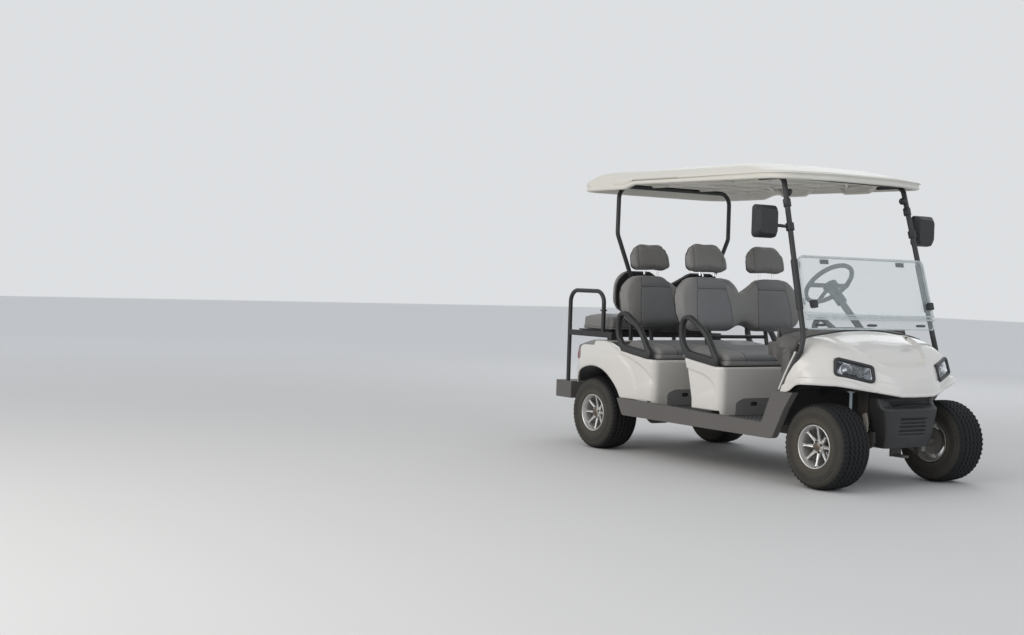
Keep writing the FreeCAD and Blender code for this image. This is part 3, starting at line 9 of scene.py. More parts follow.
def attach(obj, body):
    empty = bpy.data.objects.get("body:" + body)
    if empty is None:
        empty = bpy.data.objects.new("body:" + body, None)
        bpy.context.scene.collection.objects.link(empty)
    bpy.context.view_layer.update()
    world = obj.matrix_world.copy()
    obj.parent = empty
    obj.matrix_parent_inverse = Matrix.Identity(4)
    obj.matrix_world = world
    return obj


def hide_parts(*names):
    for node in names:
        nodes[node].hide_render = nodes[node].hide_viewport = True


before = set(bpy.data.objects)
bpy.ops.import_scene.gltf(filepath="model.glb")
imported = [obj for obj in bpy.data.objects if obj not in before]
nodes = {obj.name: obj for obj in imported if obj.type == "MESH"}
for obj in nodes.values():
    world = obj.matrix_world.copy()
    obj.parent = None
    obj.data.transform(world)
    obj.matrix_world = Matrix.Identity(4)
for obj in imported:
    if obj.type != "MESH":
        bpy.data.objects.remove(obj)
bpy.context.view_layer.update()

# Lengths are in millimetres from the front axle, forward, left and up, as in the part's source
MM = 0.001
FRONT_AXLE_X = 1132.25
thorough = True


def metres(points):
    """Points in millimetres from the front axle become points in metres in the frame."""
    moved = np.array(points, float)
    moved[..., 0] += FRONT_AXLE_X
    return moved * MM


def millimetres(points):
    moved = np.array(points, float) / MM
    moved[..., 0] -= FRONT_AXLE_X
    return moved


def smooth_step(value, low, high):
    """0 below low, 1 above high, and an even S between them."""
    share = np.clip((value - low) / (high - low), 0, 1)
    return share * share * (3 - 2 * share)


def bell(value, width):
    """1 at value 0, falling off evenly on both sides with that width."""
    return np.exp(-(value / width) ** 2)


def curve_through(keys, values, at):
    """A curve through all the values that never overshoots: cubic pieces, whose slope at a value is the
    harmonic mean of the slopes on both sides."""
    keys = np.asarray(keys, float)
    values = np.asarray(values, float)
    at = np.clip(np.asarray(at, float), keys[0], keys[-1])
    run = np.diff(keys)
    slope = np.diff(values, axis=0) / (run if values.ndim == 1 else run[:, None])
    before, after = slope[:-1], slope[1:]
    same = before * after > 0
    safe = np.where(same, before + after, 1)
    inner = np.where(same, 2 * before * after / safe, 0)
    tangent = np.concatenate([slope[:1], inner, slope[-1:]])
    place = np.clip(np.searchsorted(keys, at, side="right") - 1, 0, len(run) - 1)
    length = run[place]
    share = (at - keys[place]) / length
    if values.ndim > 1:
        share, length = share[..., None], length[..., None]
    square, cube = share ** 2, share ** 3
    return ((2 * cube - 3 * square + 1) * values[place]
            + (cube - 2 * square + share) * length * tangent[place]
            + (3 * square - 2 * cube) * values[place + 1]
            + (cube - square) * length * tangent[place + 1])


def unit(vectors):
    """Vectors along the last axis, brought to length 1."""
    return vectors / np.linalg.norm(vectors, axis=-1, keepdims=True)


def turns(count):
    """Angles at equal steps round a full turn."""
    return np.linspace(0, 2 * math.pi, count, endpoint=False)


def weights(count):
    """The weights of a bell-shaped blur over an odd number of neighbours."""
    found = bell(np.linspace(-2, 2, count), 1.0)
    return found / found.sum()


def corner_of(before, point, after):
    """Unit directions from a corner to its neighbours, the bisector, and half the angle between them."""
    back, ahead = unit(before - point), unit(after - point)
    return back, ahead, unit(back + ahead), math.acos(float(np.clip(back @ ahead, -1, 1))) / 2


def evenly(points, count):
    """The same polyline with count points at equal steps of its length."""
    points = np.asarray(points, float)
    steps = np.linalg.norm(np.diff(points, axis=0), axis=1)
    travelled = np.concatenate([[0], np.cumsum(steps)])
    at = np.linspace(0, travelled[-1], count)
    return np.stack([np.interp(at, travelled, points[:, axis]) for axis in range(points.shape[1])], 1)


def rounded(corners, arc_steps=8, closed=True):
    """A polyline of straight runs joined by tangent arcs. Each corner is (point, radius)."""
    count = len(corners)
    places = [np.array(point, float) for point, _ in corners]
    found = []
    for index, (_, radius) in enumerate(corners):
        point = places[index]
        if radius == 0 or (not closed and index in (0, count - 1)):
            found.append(point[None])
            continue
        back, ahead, inward, half = corner_of(places[index - 1], point, places[(index + 1) % count])
        reach = radius / math.tan(half)
        centre = point + inward * radius / math.sin(half)
        turn = math.pi - 2 * half
        share = np.linspace(0, 1, arc_steps + 1)[:, None]
        a, b = point + back * reach - centre, point + ahead * reach - centre
        found.append(centre + (np.sin((1 - share) * turn) * a + np.sin(share * turn) * b) / math.sin(turn))
    return np.concatenate(found)


def closed_evenly(line, count):
    """A closed line with count points at equal steps."""
    return evenly(np.concatenate([line, line[:1]]), count + 1)[:-1]


def linked(name, data):
    """A new object in the scene."""
    made = bpy.data.objects.new(name, data)
    bpy.context.scene.collection.objects.link(made)
    return made


def mesh_object(name, points, faces, millimetre=True):
    """A new smooth mesh at the origin. Points are an array whose last axis is x, y, z."""
    points = np.asarray(points, float).reshape(-1, 3)
    mesh = bpy.data.meshes.new(name)
    mesh.from_pydata((metres(points) if millimetre else points).tolist(), [],
                     faces if isinstance(faces, list) else faces.tolist())
    mesh.shade_smooth()
    return linked(name, mesh)


def grid_faces(rows, columns, wrap_rows=False, wrap_columns=False, start=0):
    """The four-sided faces of a grid of points, counted row by row."""
    i, j = np.meshgrid(np.arange(rows if wrap_rows else rows - 1),
                       np.arange(columns if wrap_columns else columns - 1), indexing="ij")
    next_i, next_j = (i + 1) % rows, (j + 1) % columns
    corners = (i * columns + j, next_i * columns + j, next_i * columns + next_j, i * columns + next_j)
    return np.stack(corners, -1).reshape(-1, 4) + start


def grid_object(name, points, wrap_rows=False, wrap_columns=False, inside_out=False):
    """A surface over a grid of points (rows, columns, 3)."""
    faces = grid_faces(points.shape[0], points.shape[1], wrap_rows, wrap_columns)
    return mesh_object(name, points, faces[:, ::-1] if inside_out else faces)


def facing_out(made):
    """Merges doubled points and turns every face outwards."""
    work = bmesh.new()
    work.from_mesh(made.data)
    bmesh.ops.remove_doubles(work, verts=work.verts, dist=1e-6)
    bmesh.ops.recalc_face_normals(work, faces=work.faces)
    work.to_mesh(made.data)
    work.free()
    return made


def swept(path, section, closed_path, up):
    """A section (columns of across, up), or one for each point, carried along a path. It stands square to the
    path, its first column across the path and its second as near to up as the path allows."""
    path, section = np.asarray(path, float), np.asarray(section, float)
    run = np.roll(path, -1, axis=0) - np.roll(path, 1, axis=0) if closed_path else np.gradient(path, axis=0)
    run = unit(run)
    across = unit(np.cross(run, np.asarray(up, float)))
    raised = np.cross(across, run)
    return path[:, None] + across[:, None] * section[..., :1] + raised[:, None] * section[..., 1:2]


def closed_sweep(name, path, section, closed_path=False, up=(0, 0, 1)):
    """A bar along a path, with a point closing each end unless the path is a loop."""
    points = swept(path, section, closed_path, up)
    rows, columns = points.shape[:2]
    flat = points.reshape(-1, 3)
    faces = grid_faces(rows, columns, closed_path, True).tolist()
    if not closed_path:
        here = np.arange(columns)
        after = (here + 1) % columns
        last = (rows - 1) * columns
        tip = np.full(columns, rows * columns)
        faces += np.stack([after, here, tip], 1).tolist()
        faces += np.stack([here + last, after + last, tip + 1], 1).tolist()
        flat = np.concatenate([flat, points[[0, -1]].mean(1)])
    return facing_out(mesh_object(name, flat, faces))


def joined(name, parts):
    """Several meshes become one object."""
    points, faces, start = [], [], 0
    for part in parts:
        points.append(points_of(part))
        faces += [[corner + start for corner in polygon.vertices] for polygon in part.data.polygons]
        start += len(points[-1])
        bpy.data.objects.remove(part)
    return mesh_object(name, np.concatenate(points), faces, False)


def add_modifier(made, kind, **settings):
    modifier = made.modifiers.new(kind.title(), kind)
    for key, value in settings.items():
        setattr(modifier, key, value)
    return modifier


def store(made, attribute, values):
    """One number for each point of a mesh, for its material to read."""
    layer = made.data.attributes.new(attribute, "FLOAT", "POINT")
    layer.data.foreach_set("value", np.asarray(values, np.float32).ravel())


def points_of(made):
    coordinates = np.zeros(len(made.data.vertices) * 3)
    made.data.vertices.foreach_get("co", coordinates)
    return coordinates.reshape(-1, 3)


def fit(made, finish, body, slot, *stands_for):
    """Gives a piece its finish and the body that it rides on, and hides the nodes that it replaces. The slot
    is not used.
    """
    made.data.materials.clear()
    made.data.materials.append(finishes[finish])
    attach(made, body)
    if stands_for:
        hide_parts(*stands_for)
    return made


# Finishes

class Signal:
    """One number that varies over a surface. Sums on it add the nodes that work them out."""

    def __init__(self, finish, socket):
        self.finish = finish
        self.socket = socket

    def __rsub__(self, other):
        return self.finish.maths("SUBTRACT", other, self)

    def __abs__(self):
        return self.finish.maths("ABSOLUTE", self)


def two_sided(operation):
    return lambda signal, other: signal.finish.maths(operation, signal, other)


for sign, operation in (("add", "ADD"), ("radd", "ADD"), ("sub", "SUBTRACT"), ("mul", "MULTIPLY"),
                        ("rmul", "MULTIPLY"), ("pow", "POWER"), ("lt", "LESS_THAN")):
    setattr(Signal, "__%s__" % sign, two_sided(operation))


class Finish:
    """A material and the nodes on it."""

    def __init__(self, name):
        self.material = bpy.data.materials.new(name)
        self.material.use_nodes = True
        self.tree = self.material.node_tree
        self.tree.nodes.clear()
        self.place = self.node("ShaderNodeTexCoord").outputs["Object"]

    def node(self, kind, settings=None, **inputs):
        """Adds a node: its settings first, then the value or link of each socket. A socket goes by its name,
        or by n and its number."""
        made = self.tree.nodes.new(kind)
        for key, value in (settings or {}).items():
            setattr(made, key, value)
        for key, value in inputs.items():
            numbered = key[0] == "n" and key[1:].isdigit()
            self.join(made.inputs[int(key[1:]) if numbered else key.replace("_", " ")], value)
        return made

    def join(self, socket, value):
        if isinstance(value, Signal):
            value = value.socket
        if isinstance(value, bpy.types.NodeSocket):
            self.tree.links.new(value, socket)
        else:
            socket.default_value = value

    def maths(self, operation, *values):
        inputs = {"n%d" % index: value for index, value in enumerate(values)}
        return Signal(self, self.node("ShaderNodeMath", {"operation": operation}, **inputs).outputs[0])

    def axes(self):
        """The three object coordinates as numbers."""
        parts = self.node("ShaderNodeSeparateXYZ", None, n0=self.place).outputs
        return [Signal(self, parts[index]) for index in range(3)]

    def along(self, scale):
        """Object coordinates stretched by a scale for each axis."""
        made = self.node("ShaderNodeMapping", {"vector_type": "POINT"}, Vector=self.place, Scale=scale)
        return made.outputs[0]

    def noise(self, scale, detail=3.0, roughness=0.5, place=None):
        made = self.node("ShaderNodeTexNoise", None, Vector=place or self.place, Scale=scale, Detail=detail,
                         Roughness=roughness)
        return Signal(self, made.outputs["Fac"])

    def cells(self, scale, feature="F1"):
        made = self.node("ShaderNodeTexVoronoi", {"feature": feature}, Vector=self.place, Scale=scale)
        return Signal(self, made.outputs["Distance"])

    def attribute(self, name):
        return Signal(self, self.node("ShaderNodeAttribute", {"attribute_name": name}).outputs["Fac"])

    def ranged(self, value, low, high, new_low=0.0, new_high=1.0):
        """An S from the new low to the new high, as the value goes from low to high."""
        made = self.node("ShaderNodeMapRange", {"interpolation_type": "SMOOTHSTEP"},
                         n0=value, n1=low, n2=high, n3=new_low, n4=new_high)
        return Signal(self, made.outputs[0])

    def mixed(self, factor, first, second):
        """One colour turning into another."""
        made = self.node("ShaderNodeMix", {"data_type": "RGBA"})
        self.join(made.inputs["Factor"], factor)
        for socket, value in ((made.inputs[6], first), (made.inputs[7], second)):
            self.join(socket, value if isinstance(value, bpy.types.NodeSocket) else tuple(value) + (1.0,))
        return made.outputs[2]

    def drifting(self, factor, colour, spread):
        """A colour that drifts between a darker and a lighter shade of itself."""
        return self.mixed(factor, tinted(colour, 1 - spread), tinted(colour, 1 + spread))

    def bumped(self, height, distance):
        return self.node("ShaderNodeBump", None, Height=height, Distance=distance, Strength=1.0).outputs[0]

    def principled(self, **sockets):
        """The surface itself. Sockets with varying values are linked, the others set."""
        surface = self.node("ShaderNodeBsdfPrincipled", None, **sockets)
        self.node("ShaderNodeOutputMaterial", None, Surface=surface.outputs[0])
        return self.material


ROAD_DUST = (0.185, 0.17, 0.15)


def tinted(colour, share):
    return tuple(min(1.0, part * share) for part in colour)


def moulded(name, colour, rough, grain, depth, mottle=0.12, dust=0.0, coat=0.0, scuff=0.0):
    """Moulded plastic or powder coat: a fine grain in the relief, a slow drift of shade and gloss, and
    a little road dust that gathers low down."""
    finish = Finish(name)
    drift = finish.noise(3.1, 3.0)
    fine = finish.noise(grain, 2.0, 0.6)
    colour_now = finish.drifting(drift, colour, mottle)
    if dust:
        height = finish.axes()[2]
        gathered = finish.ranged(height + finish.noise(9.0, 4.0) * 0.25, 0.9, 0.2, 0.0, dust)
        colour_now = finish.mixed(gathered, colour_now, ROAD_DUST)
    if scuff:
        drawn_out = finish.along((0.25, 1.0, 1.0))
        marks = finish.ranged(finish.noise(60.0, 5.0, 0.7, drawn_out), 0.66, 0.74, 0.0, scuff)
        colour_now = finish.mixed(marks, colour_now, tinted(colour, 2.6))
    roughness = fine * 0.10 + drift * 0.12 + (rough - 0.11)
    return finish.principled(Base_Color=colour_now, Roughness=roughness, Normal=finish.bumped(fine, depth),
                             Coat_Weight=coat, Coat_Roughness=0.08, Specular_IOR_Level=0.5)


def metal(name, colour, rough, brushed=(40.0, 40.0, 40.0), depth=0.00004, mottle=0.1, metallic=1.0):
    """Bare or silver-painted metal with fine uneven gloss."""
    finish = Finish(name)
    drift = finish.noise(6.0, 4.0)
    fine = finish.noise(12.0, 3.0, 0.6, finish.along(brushed))
    return finish.principled(
        Base_Color=finish.drifting(drift, colour, mottle),
        Metallic=metallic, Roughness=fine * 0.16 + drift * 0.1 + (rough - 0.12),
        Normal=finish.bumped(fine, depth))


def pearl_paint():
    """Two-coat pearl: a cream base with soft flakes under clear lacquer, a trace of dust near the ground."""
    finish = Finish("pearl_paint")
    height = finish.axes()[2]
    drift = finish.noise(2.3, 2.0)
    flakes = finish.cells(1400.0)
    base = finish.mixed(drift, (0.71, 0.675, 0.625), (0.765, 0.735, 0.69))
    base = finish.mixed(flakes * 0.25, base, (0.80, 0.80, 0.80))
    low = finish.ranged(height + finish.noise(14.0, 4.0) * 0.12, 0.50, 0.32, 0.0, 0.16)
    base = finish.mixed(low, base, (0.40, 0.35, 0.29))
    peel = finish.noise(95.0, 2.0)
    return finish.principled(
        Base_Color=base, Metallic=0.0, Roughness=finish.noise(30.0, 3.0) * 0.10 + 0.26,
        Coat_Weight=0.85, Coat_Roughness=0.05, Specular_IOR_Level=0.45, Normal=finish.bumped(peel, 0.00006))


def seat_leather(name, colour, panel):
    """Coated vinyl: small pebbled cells with creases between them, another shade inside the seams, and dark
    seam lines with a stitched ridge on either side. A dark welt where the mesh asks for it."""
    finish = Finish(name)
    pebble = finish.ranged(finish.cells(620.0, "DISTANCE_TO_EDGE"), 0.0, 0.22)
    slow = finish.noise(5.0, 4.0)
    creases = finish.noise(38.0, 5.0, 0.65)
    away = abs(finish.attribute("seam"))
    inside = finish.ranged(finish.attribute("panel"), -1.0, 1.0)
    shade = finish.drifting(slow, colour, 0.12)
    shade = finish.mixed(inside, shade, finish.drifting(slow, panel, 0.10))
    shade = finish.mixed(creases * 0.25, shade, tinted(colour, 1.3))
    line = finish.ranged(away, 2.6, 0.9)
    shade = finish.mixed(line * 0.72, shade, (0.018, 0.018, 0.018))
    shade = finish.mixed(finish.attribute("dark"), shade, (0.022, 0.021, 0.021))
    stitched = finish.ranged(abs(away - 5.0), 1.4, 0.2)
    relief = finish.bumped(pebble + creases * 1.4 + stitched * 3.0, 0.00016)
    return finish.principled(Base_Color=shade, Roughness=0.60 - pebble * 0.10 - slow * 0.12, Normal=relief,
                             Sheen_Weight=0.10, Sheen_Roughness=0.5, Specular_IOR_Level=0.42)


def tyre_finish():
    """Rubber: near black tread whose grooves are painted almost black as painted shade, and a browner,
    slightly ribbed sidewall with dust near the bead and a painted highlight on one rib.
    """
    finish = Finish("tyre_rubber")
    side = finish.attribute("sidewall")
    groove = finish.attribute("groove")
    grit = finish.noise(160.0, 4.0, 0.7)
    slow = finish.noise(11.0, 4.0)
    tread = finish.mixed(slow, (0.013, 0.0135, 0.0145), (0.022, 0.022, 0.023))
    wall = finish.mixed(slow, (0.040, 0.038, 0.034), (0.066, 0.062, 0.055))
    colour = finish.mixed(side, tread, wall)
    # Brown dust near the bead, and a pale ring on the rib at radius 190 that is a painted highlight
    colour = finish.mixed(finish.attribute("bead_dust_and_rib_highlight") * 0.6, colour, (0.105, 0.092, 0.074))
    # Painted shade: the grooves are painted almost black
    colour = finish.mixed(groove * 0.97, colour, (0.002, 0.002, 0.002))
    colour = finish.mixed(finish.ranged(grit, 0.58, 0.72, 0.0, 0.22) * side, colour, (0.13, 0.11, 0.09))
    return finish.principled(Base_Color=colour, Roughness=grit * 0.25 + 0.62, Specular_IOR_Level=0.20,
                             Normal=finish.bumped(grit, 0.00022))


def clear_plastic(name, tint, base_alpha, sheen):
    """Thin clear sheet: mostly see-through, brighter at glancing angles, with faint wiping marks."""
    finish = Finish(name)
    glance = Signal(finish, finish.node("ShaderNodeLayerWeight", None, Blend=0.32).outputs["Facing"])
    smears = finish.noise(18.0, 5.0, 0.7, finish.along((1.0, 0.35, 2.0)))
    alpha = glance * sheen + smears * 0.04 + base_alpha
    return finish.principled(Base_Color=finish.mixed(smears, tint, tinted(tint, 1.06)), Alpha=alpha,
                             Roughness=smears * 0.05 + 0.04, Specular_IOR_Level=0.8,
                             Normal=finish.bumped(smears, 0.00002))


def tail_red():
    """Red lens with a fine ribbed relief."""
    finish = Finish("tail_lens_red")
    ribs = finish.maths("SINE", finish.axes()[0] * 1500.0)
    glow = finish.noise(40.0, 2.0)
    return finish.principled(Base_Color=finish.mixed(glow, (0.34, 0.018, 0.014), (0.52, 0.03, 0.02)),
                             Roughness=glow * 0.1 + 0.12, Normal=finish.bumped(ribs, 0.0003), Coat_Weight=0.6)


# Key, material name, colour, roughness, grain, depth of the grain, mottle, dust, coat, scuffs
MOULDINGS = (
    ("roof_plastic", "roof_shell", (0.74, 0.715, 0.65), 0.42, 420.0, 0.00012, 0.04, 0.0, 0.12),
    ("charcoal_plastic", "charcoal_moulding", (0.122, 0.114, 0.110), 0.58, 900.0, 0.00028, 0.16, 0.2, 0.0,
     0.14),
    ("black_plastic", "black_moulding", (0.022, 0.023, 0.025), 0.50, 1100.0, 0.00022, 0.15, 0.07),
    ("armrest_black", "armrest_moulding", (0.030, 0.030, 0.031), 0.46, 1300.0, 0.00018, 0.2, 0.05, 0.0, 0.1),
    ("grey_plastic", "grey_moulding", (0.245, 0.245, 0.245), 0.50, 700.0, 0.00018, 0.08, 0.04),
    ("seat_shell", "seat_shell_plastic", (0.034, 0.032, 0.031), 0.55, 800.0, 0.00025, 0.15),
    ("black_tube", "tube_powder_coat", (0.026, 0.026, 0.027), 0.42, 800.0, 0.00012, 0.15, 0.05, 0.0, 0.05),
    ("frame_steel", "frame_coat", (0.035, 0.033, 0.031), 0.60, 500.0, 0.00030, 0.25, 0.40),
    ("shock_coat", "shock_coat", (0.50, 0.56, 0.60), 0.4, 300.0, 0.0002, 0.1, 0.1),
    ("bracket_paint", "bracket_paint", (0.42, 0.39, 0.33), 0.5, 300.0, 0.0003, 0.15, 0.2))
# Key, material name, colour, roughness, stretch of the noise, depth, mottle, how metallic
METALS = (
    ("chrome_post", "chrome", (0.80, 0.80, 0.81), 0.20, (30.0, 30.0, 30.0), 0.00002, 0.05),
    ("cast_parts", "cast_metal", (0.30, 0.285, 0.26), 0.55, (30.0, 30.0, 30.0), 0.00020, 0.25, 0.6),
    ("bright_steel", "zinc", (0.56, 0.55, 0.53), 0.34),
    ("alloy", "silver_wheel_paint", (0.66, 0.655, 0.64), 0.36, (60.0, 60.0, 60.0), 0.00003, 0.06, 0.85),
    ("mirror_glass", "mirror_silver", (0.82, 0.84, 0.85), 0.14, (2.0, 2.0, 2.0), 0.000002, 0.01))
HEADREST_GREY = (0.195, 0.189, 0.181)
finishes = {key: moulded(*row) for key, *row in MOULDINGS}
finishes.update({key: metal(*row) for key, *row in METALS})
finishes.update({
    "body_paint": pearl_paint(),
    "seat_vinyl": seat_leather("seat_vinyl_grey", (0.220, 0.214, 0.208), (0.172, 0.177, 0.184)),
    "headrest_vinyl": seat_leather("headrest_vinyl_grey", HEADREST_GREY, HEADREST_GREY),
    "tyre_rubber": tyre_finish(),
    "clear_pane": clear_plastic("clear_sheet", (0.70, 0.77, 0.77), 0.03, 0.32),
    "lamp_lens": clear_plastic("lamp_glass", (0.92, 0.94, 0.96), 0.02, 0.20),
    "tail_lens": tail_red()})

# Camera, floor and light

camera_data = bpy.data.cameras.new("camera")
camera_data.sensor_width = 36.0
camera_data.lens = 50.33
camera_data.clip_end = 200.0
camera = linked("camera", camera_data)
camera_axes = np.array([[0.5453, 0.8376, 0.0316], [-0.0403, -0.0115, 0.9991], [0.8373, -0.5461, 0.0275]])
camera_place = Matrix.Translation((6.56136, -6.01227, 1.06865))
camera.matrix_world = camera_place @ Matrix(camera_axes.T.tolist()).to_4x4()
bpy.context.scene.camera = camera


def stage():
    """A wide floor that pales towards a pale world, and three soft panels of light."""
    across = np.linspace(-40, 40, 9)
    points = np.stack(np.meshgrid(across, across, indexing="ij") + [np.zeros((9, 9))], -1)
    floor = mesh_object("floor", points, grid_faces(9, 9), False)
    finish = Finish("floor_paper")
    x, y, _ = finish.axes()
    far = finish.ranged((x * x + y * y) ** 0.5 + finish.noise(0.6, 2.0), 3.0, 14.0)
    floor.data.materials.append(finish.principled(
        Base_Color=finish.mixed(far, (0.70, 0.69, 0.68), (0.97, 0.97, 0.98)), Roughness=0.85))
    world = bpy.data.worlds.new("world")
    bpy.context.scene.world = world
    world.use_nodes = True
    nodes_of, links = world.node_tree.nodes, world.node_tree.links
    nodes_of.clear()
    path = nodes_of.new("ShaderNodeLightPath").outputs

    def background(colour, strength):
        made = nodes_of.new("ShaderNodeBackground")
        made.inputs["Color"].default_value = colour
        made.inputs["Strength"].default_value = strength
        return made.outputs[0]

    def either(first, second):
        made = nodes_of.new("ShaderNodeMath")
        made.operation = "MAXIMUM"
        links.new(first, made.inputs[0])
        links.new(second, made.inputs[1])
        return made.outputs[0]
    seen = either(either(path["Is Camera Ray"], path["Is Glossy Ray"]), path["Is Transmission Ray"])
    blend = nodes_of.new("ShaderNodeMixShader")
    for socket, value in enumerate((seen, background((0.93, 0.96, 1.0, 1.0), 0.56),
                                    background((0.86, 0.88, 0.90, 1.0), 0.84))):
        links.new(value, blend.inputs[socket])
    links.new(blend.outputs[0], nodes_of.new("ShaderNodeOutputWorld").inputs[0])
    # Panels: place, where it points, size, power, colour
    for name, place, target, size, power, colour in (
            ("key_light", (1.0, -7.0, 4.2), (0.0, 0.0, 0.9), 6.0, 215.0, (1.0, 0.965, 0.92)),
            ("front_light", (7.4, 1.5, 3.4), (0.5, 0.0, 0.7), 5.0, 72.0, (0.76, 0.88, 1.0)),
            ("back_light", (-4.5, 5.5, 5.5), (-0.3, 0.0, 0.8), 6.0, 100.0, (0.92, 0.96, 1.0))):
        data = bpy.data.lights.new(name, "AREA")
        data.size, data.energy, data.color = size, power, colour
        lamp = linked(name, data)
        lamp.location = place
        lamp.rotation_mode = "QUATERNION"
        lamp.rotation_quaternion = (Vector(place) - Vector(target)).to_track_quat("Z", "Y")


stage()
bpy.context.scene.view_settings.view_transform = "Standard"

# Wheels

# Radius, half width at that radius
TYRE_OUTLINE = np.array([
    (119.0, 92), (121.0, 99), (127.0, 103.5), (131.0, 104.5), (134.5, 102.6), (150, 104.6), (168, 106),
    (186, 105), (201, 101), (211, 95.5), (218.5, 89), (222.5, 81), (225.6, 66), (227.6, 44), (228.3, 22),
    (228.5, 0)])
SHOULDER = 10
WALL_RADII = np.array([214.5, 208, 201, 194, 191.5, 190, 188.5, 186, 176, 166, 155, 151.5, 150, 148.5, 145,
                       141.5, 140, 138.5, 134.5, 131.5, 127.5, 121, 119])
GROOVES = (-60.0, -30.0, 0.0, 30.0, 60.0)
GROOVE_DEPTH, NOTCH_DEPTH, TOOTH_DEPTH = 7.5, 4.2, 2.2
# Radius and height of each rib on the sidewall
SIDE_RIBS = ((190, 2.2), (150, 1.8), (140, 2.0))
ZIGZAG_PITCHES, ZIGZAG_SAMPLES, ZIGZAG_REACH = 50, 6, 6.0
AXLE_Z, REAR_AXLE_X = 228.5, -1920.0
WHEEL_CORNERS = (("front_left", 0.0, 449.0, 1), ("front_right", 0.0, 449.0, -1),
                 ("rear_left", REAR_AXLE_X, 485.0, 1), ("rear_right", REAR_AXLE_X, 485.0, -1))


def tyre_rows():
    """Rows across the tyre: offset, radius, how deep in a groove, how much sidewall, and how far each follows
    the zigzag."""
    radius_keys, offset_keys = TYRE_OUTLINE.T
    tread = [(middle + step, deep) for middle in GROOVES
             for step, deep in ((-4.2, 0), (-2.4, 1), (2.4, 1), (4.2, 0))]
    tread += [((first + second) / 2, 0) for first, second in zip(GROOVES, GROOVES[1:])]
    tread += [(side * edge, 0) for side in (-1, 1) for edge in (74, 80, 85, 89)]
    tread_offset, deep = np.array(sorted(tread), float).T
    wall_offset = curve_through(radius_keys[:SHOULDER + 1], offset_keys[:SHOULDER + 1], WALL_RADII)
    over = slice(None, SHOULDER - 1, -1)
    tread_radius = curve_through(offset_keys[over], radius_keys[over], np.abs(tread_offset))
    offset = np.concatenate([-wall_offset[::-1], tread_offset, wall_offset])
    radius = np.concatenate([WALL_RADII[::-1], tread_radius, WALL_RADII])
    flat = np.zeros(len(WALL_RADII))
    grooved = np.concatenate([flat, deep, flat])
    return offset, radius, grooved, 1 - smooth_step(radius, 205, 219), smooth_step(radius, 205, 221)


def tyre(corner, x, half_track, side):
    """Radius over (turn, offset): a rounded section carried round the axle. Offsets on the tread are shifted
    by a triangle wave of the turn: the sunk rows become zigzag grooves, and the shoulders are notched."""
    offset, radius, grooved, wall, follow = tyre_rows()
    count = ZIGZAG_PITCHES * ZIGZAG_SAMPLES
    turn = turns(count)[:, None]
    phase = np.abs((np.arange(count)[:, None] % ZIGZAG_SAMPLES) / ZIGZAG_SAMPLES - 0.5)
    wave, notch = 1 - 4 * phase, smooth_step(phase, 0.30, 0.38)
    shoulder = bell(np.abs(offset) - 89, 9) * (radius > 205)
    teeth = bell(radius - 208, 7) * (np.abs(offset) > 93)
    ribs = sum(height * bell(radius - middle, 1.8) for middle, height in SIDE_RIBS)
    shifted = offset + ZIGZAG_REACH * wave * (follow * (np.abs(offset) < 86))
    shifted = shifted - np.sign(offset) * (TOOTH_DEPTH * teeth * notch + ribs)
    along = radius - (GROOVE_DEPTH * grooved + NOTCH_DEPTH * shoulder * notch)
    points = np.stack([along * np.sin(turn) + x, side * (shifted + half_track),
                       along * np.cos(turn) + AXLE_Z], -1)
    made = grid_object("tyre_%s_tread" % corner, points, True, True, side > 0)
    # Brown dust near the bead, plus a thin pale ring on the rib at radius 190 as a painted highlight
    bead_dust_and_rib_highlight = smooth_step(radius, 166, 140) + 0.8 * bell(radius - 190, 2.5)
    # The groove share also tells the rubber where to paint the grooves almost black as painted shade
    for name, values in (("sidewall", wall), ("groove", grooved), ("bead_dust_and_rib_highlight", bead_dust_and_rib_highlight)):
        store(made, name, np.broadcast_to(values, along.shape))
    fit(made, "tyre_rubber", "wheel_" + corner, "tyre_rubber", "tyre_" + corner)


# Offset and radius
RIM_OUTLINE = np.array([
    (-98, 112), (-98, 117), (-95, 118), (90, 118), (95, 118.2), (98.6, 117.4), (99.4, 114), (98, 110.6),
    (93, 108.4), (86, 107.4), (82, 104), (60, 101), (20, 98), (-40, 98), (-84, 102), (-92, 106)])
HUB_OUTLINE = np.array([
    (30, 0.5), (30, 36), (52, 38), (62, 37), (68, 33.5), (69, 30), (66, 27.5), (66, 25.5), (74, 24.5),
    (79, 21.5), (81, 15), (82, 6), (82, 0.5)])
NUT_OUTLINE = np.array([(50, 0.3), (50, 6.2), (70, 6.2), (73, 4.6), (73.5, 0.3)])
NUT_CIRCLE, NUT_COUNT, NUT_POINTS = 30.1, 4, 12
SPOKES, SPOKE_ROWS = 8, 14
# Across the spoke as a share of its half width, and below its face
SPOKE_SECTION = np.array([(-1, -18), (-1, -4), (-0.92, -0.6), (-0.72, 0), (-0.42, -3.2), (0.42, -3.2),
                          (0.72, 0), (0.92, -0.6), (1, -4), (1, -18), (0.6, -20), (-0.6, -20)], float)


def revolved(rows, turn):
    """Rows of (offset, radius) turned about the axle."""
    turn = turn[:, None]
    across = np.broadcast_to(rows[:, 0], (len(turn), len(rows)))
    return np.stack([rows[:, 1] * np.sin(turn), across, rows[:, 1] * np.cos(turn)], -1)


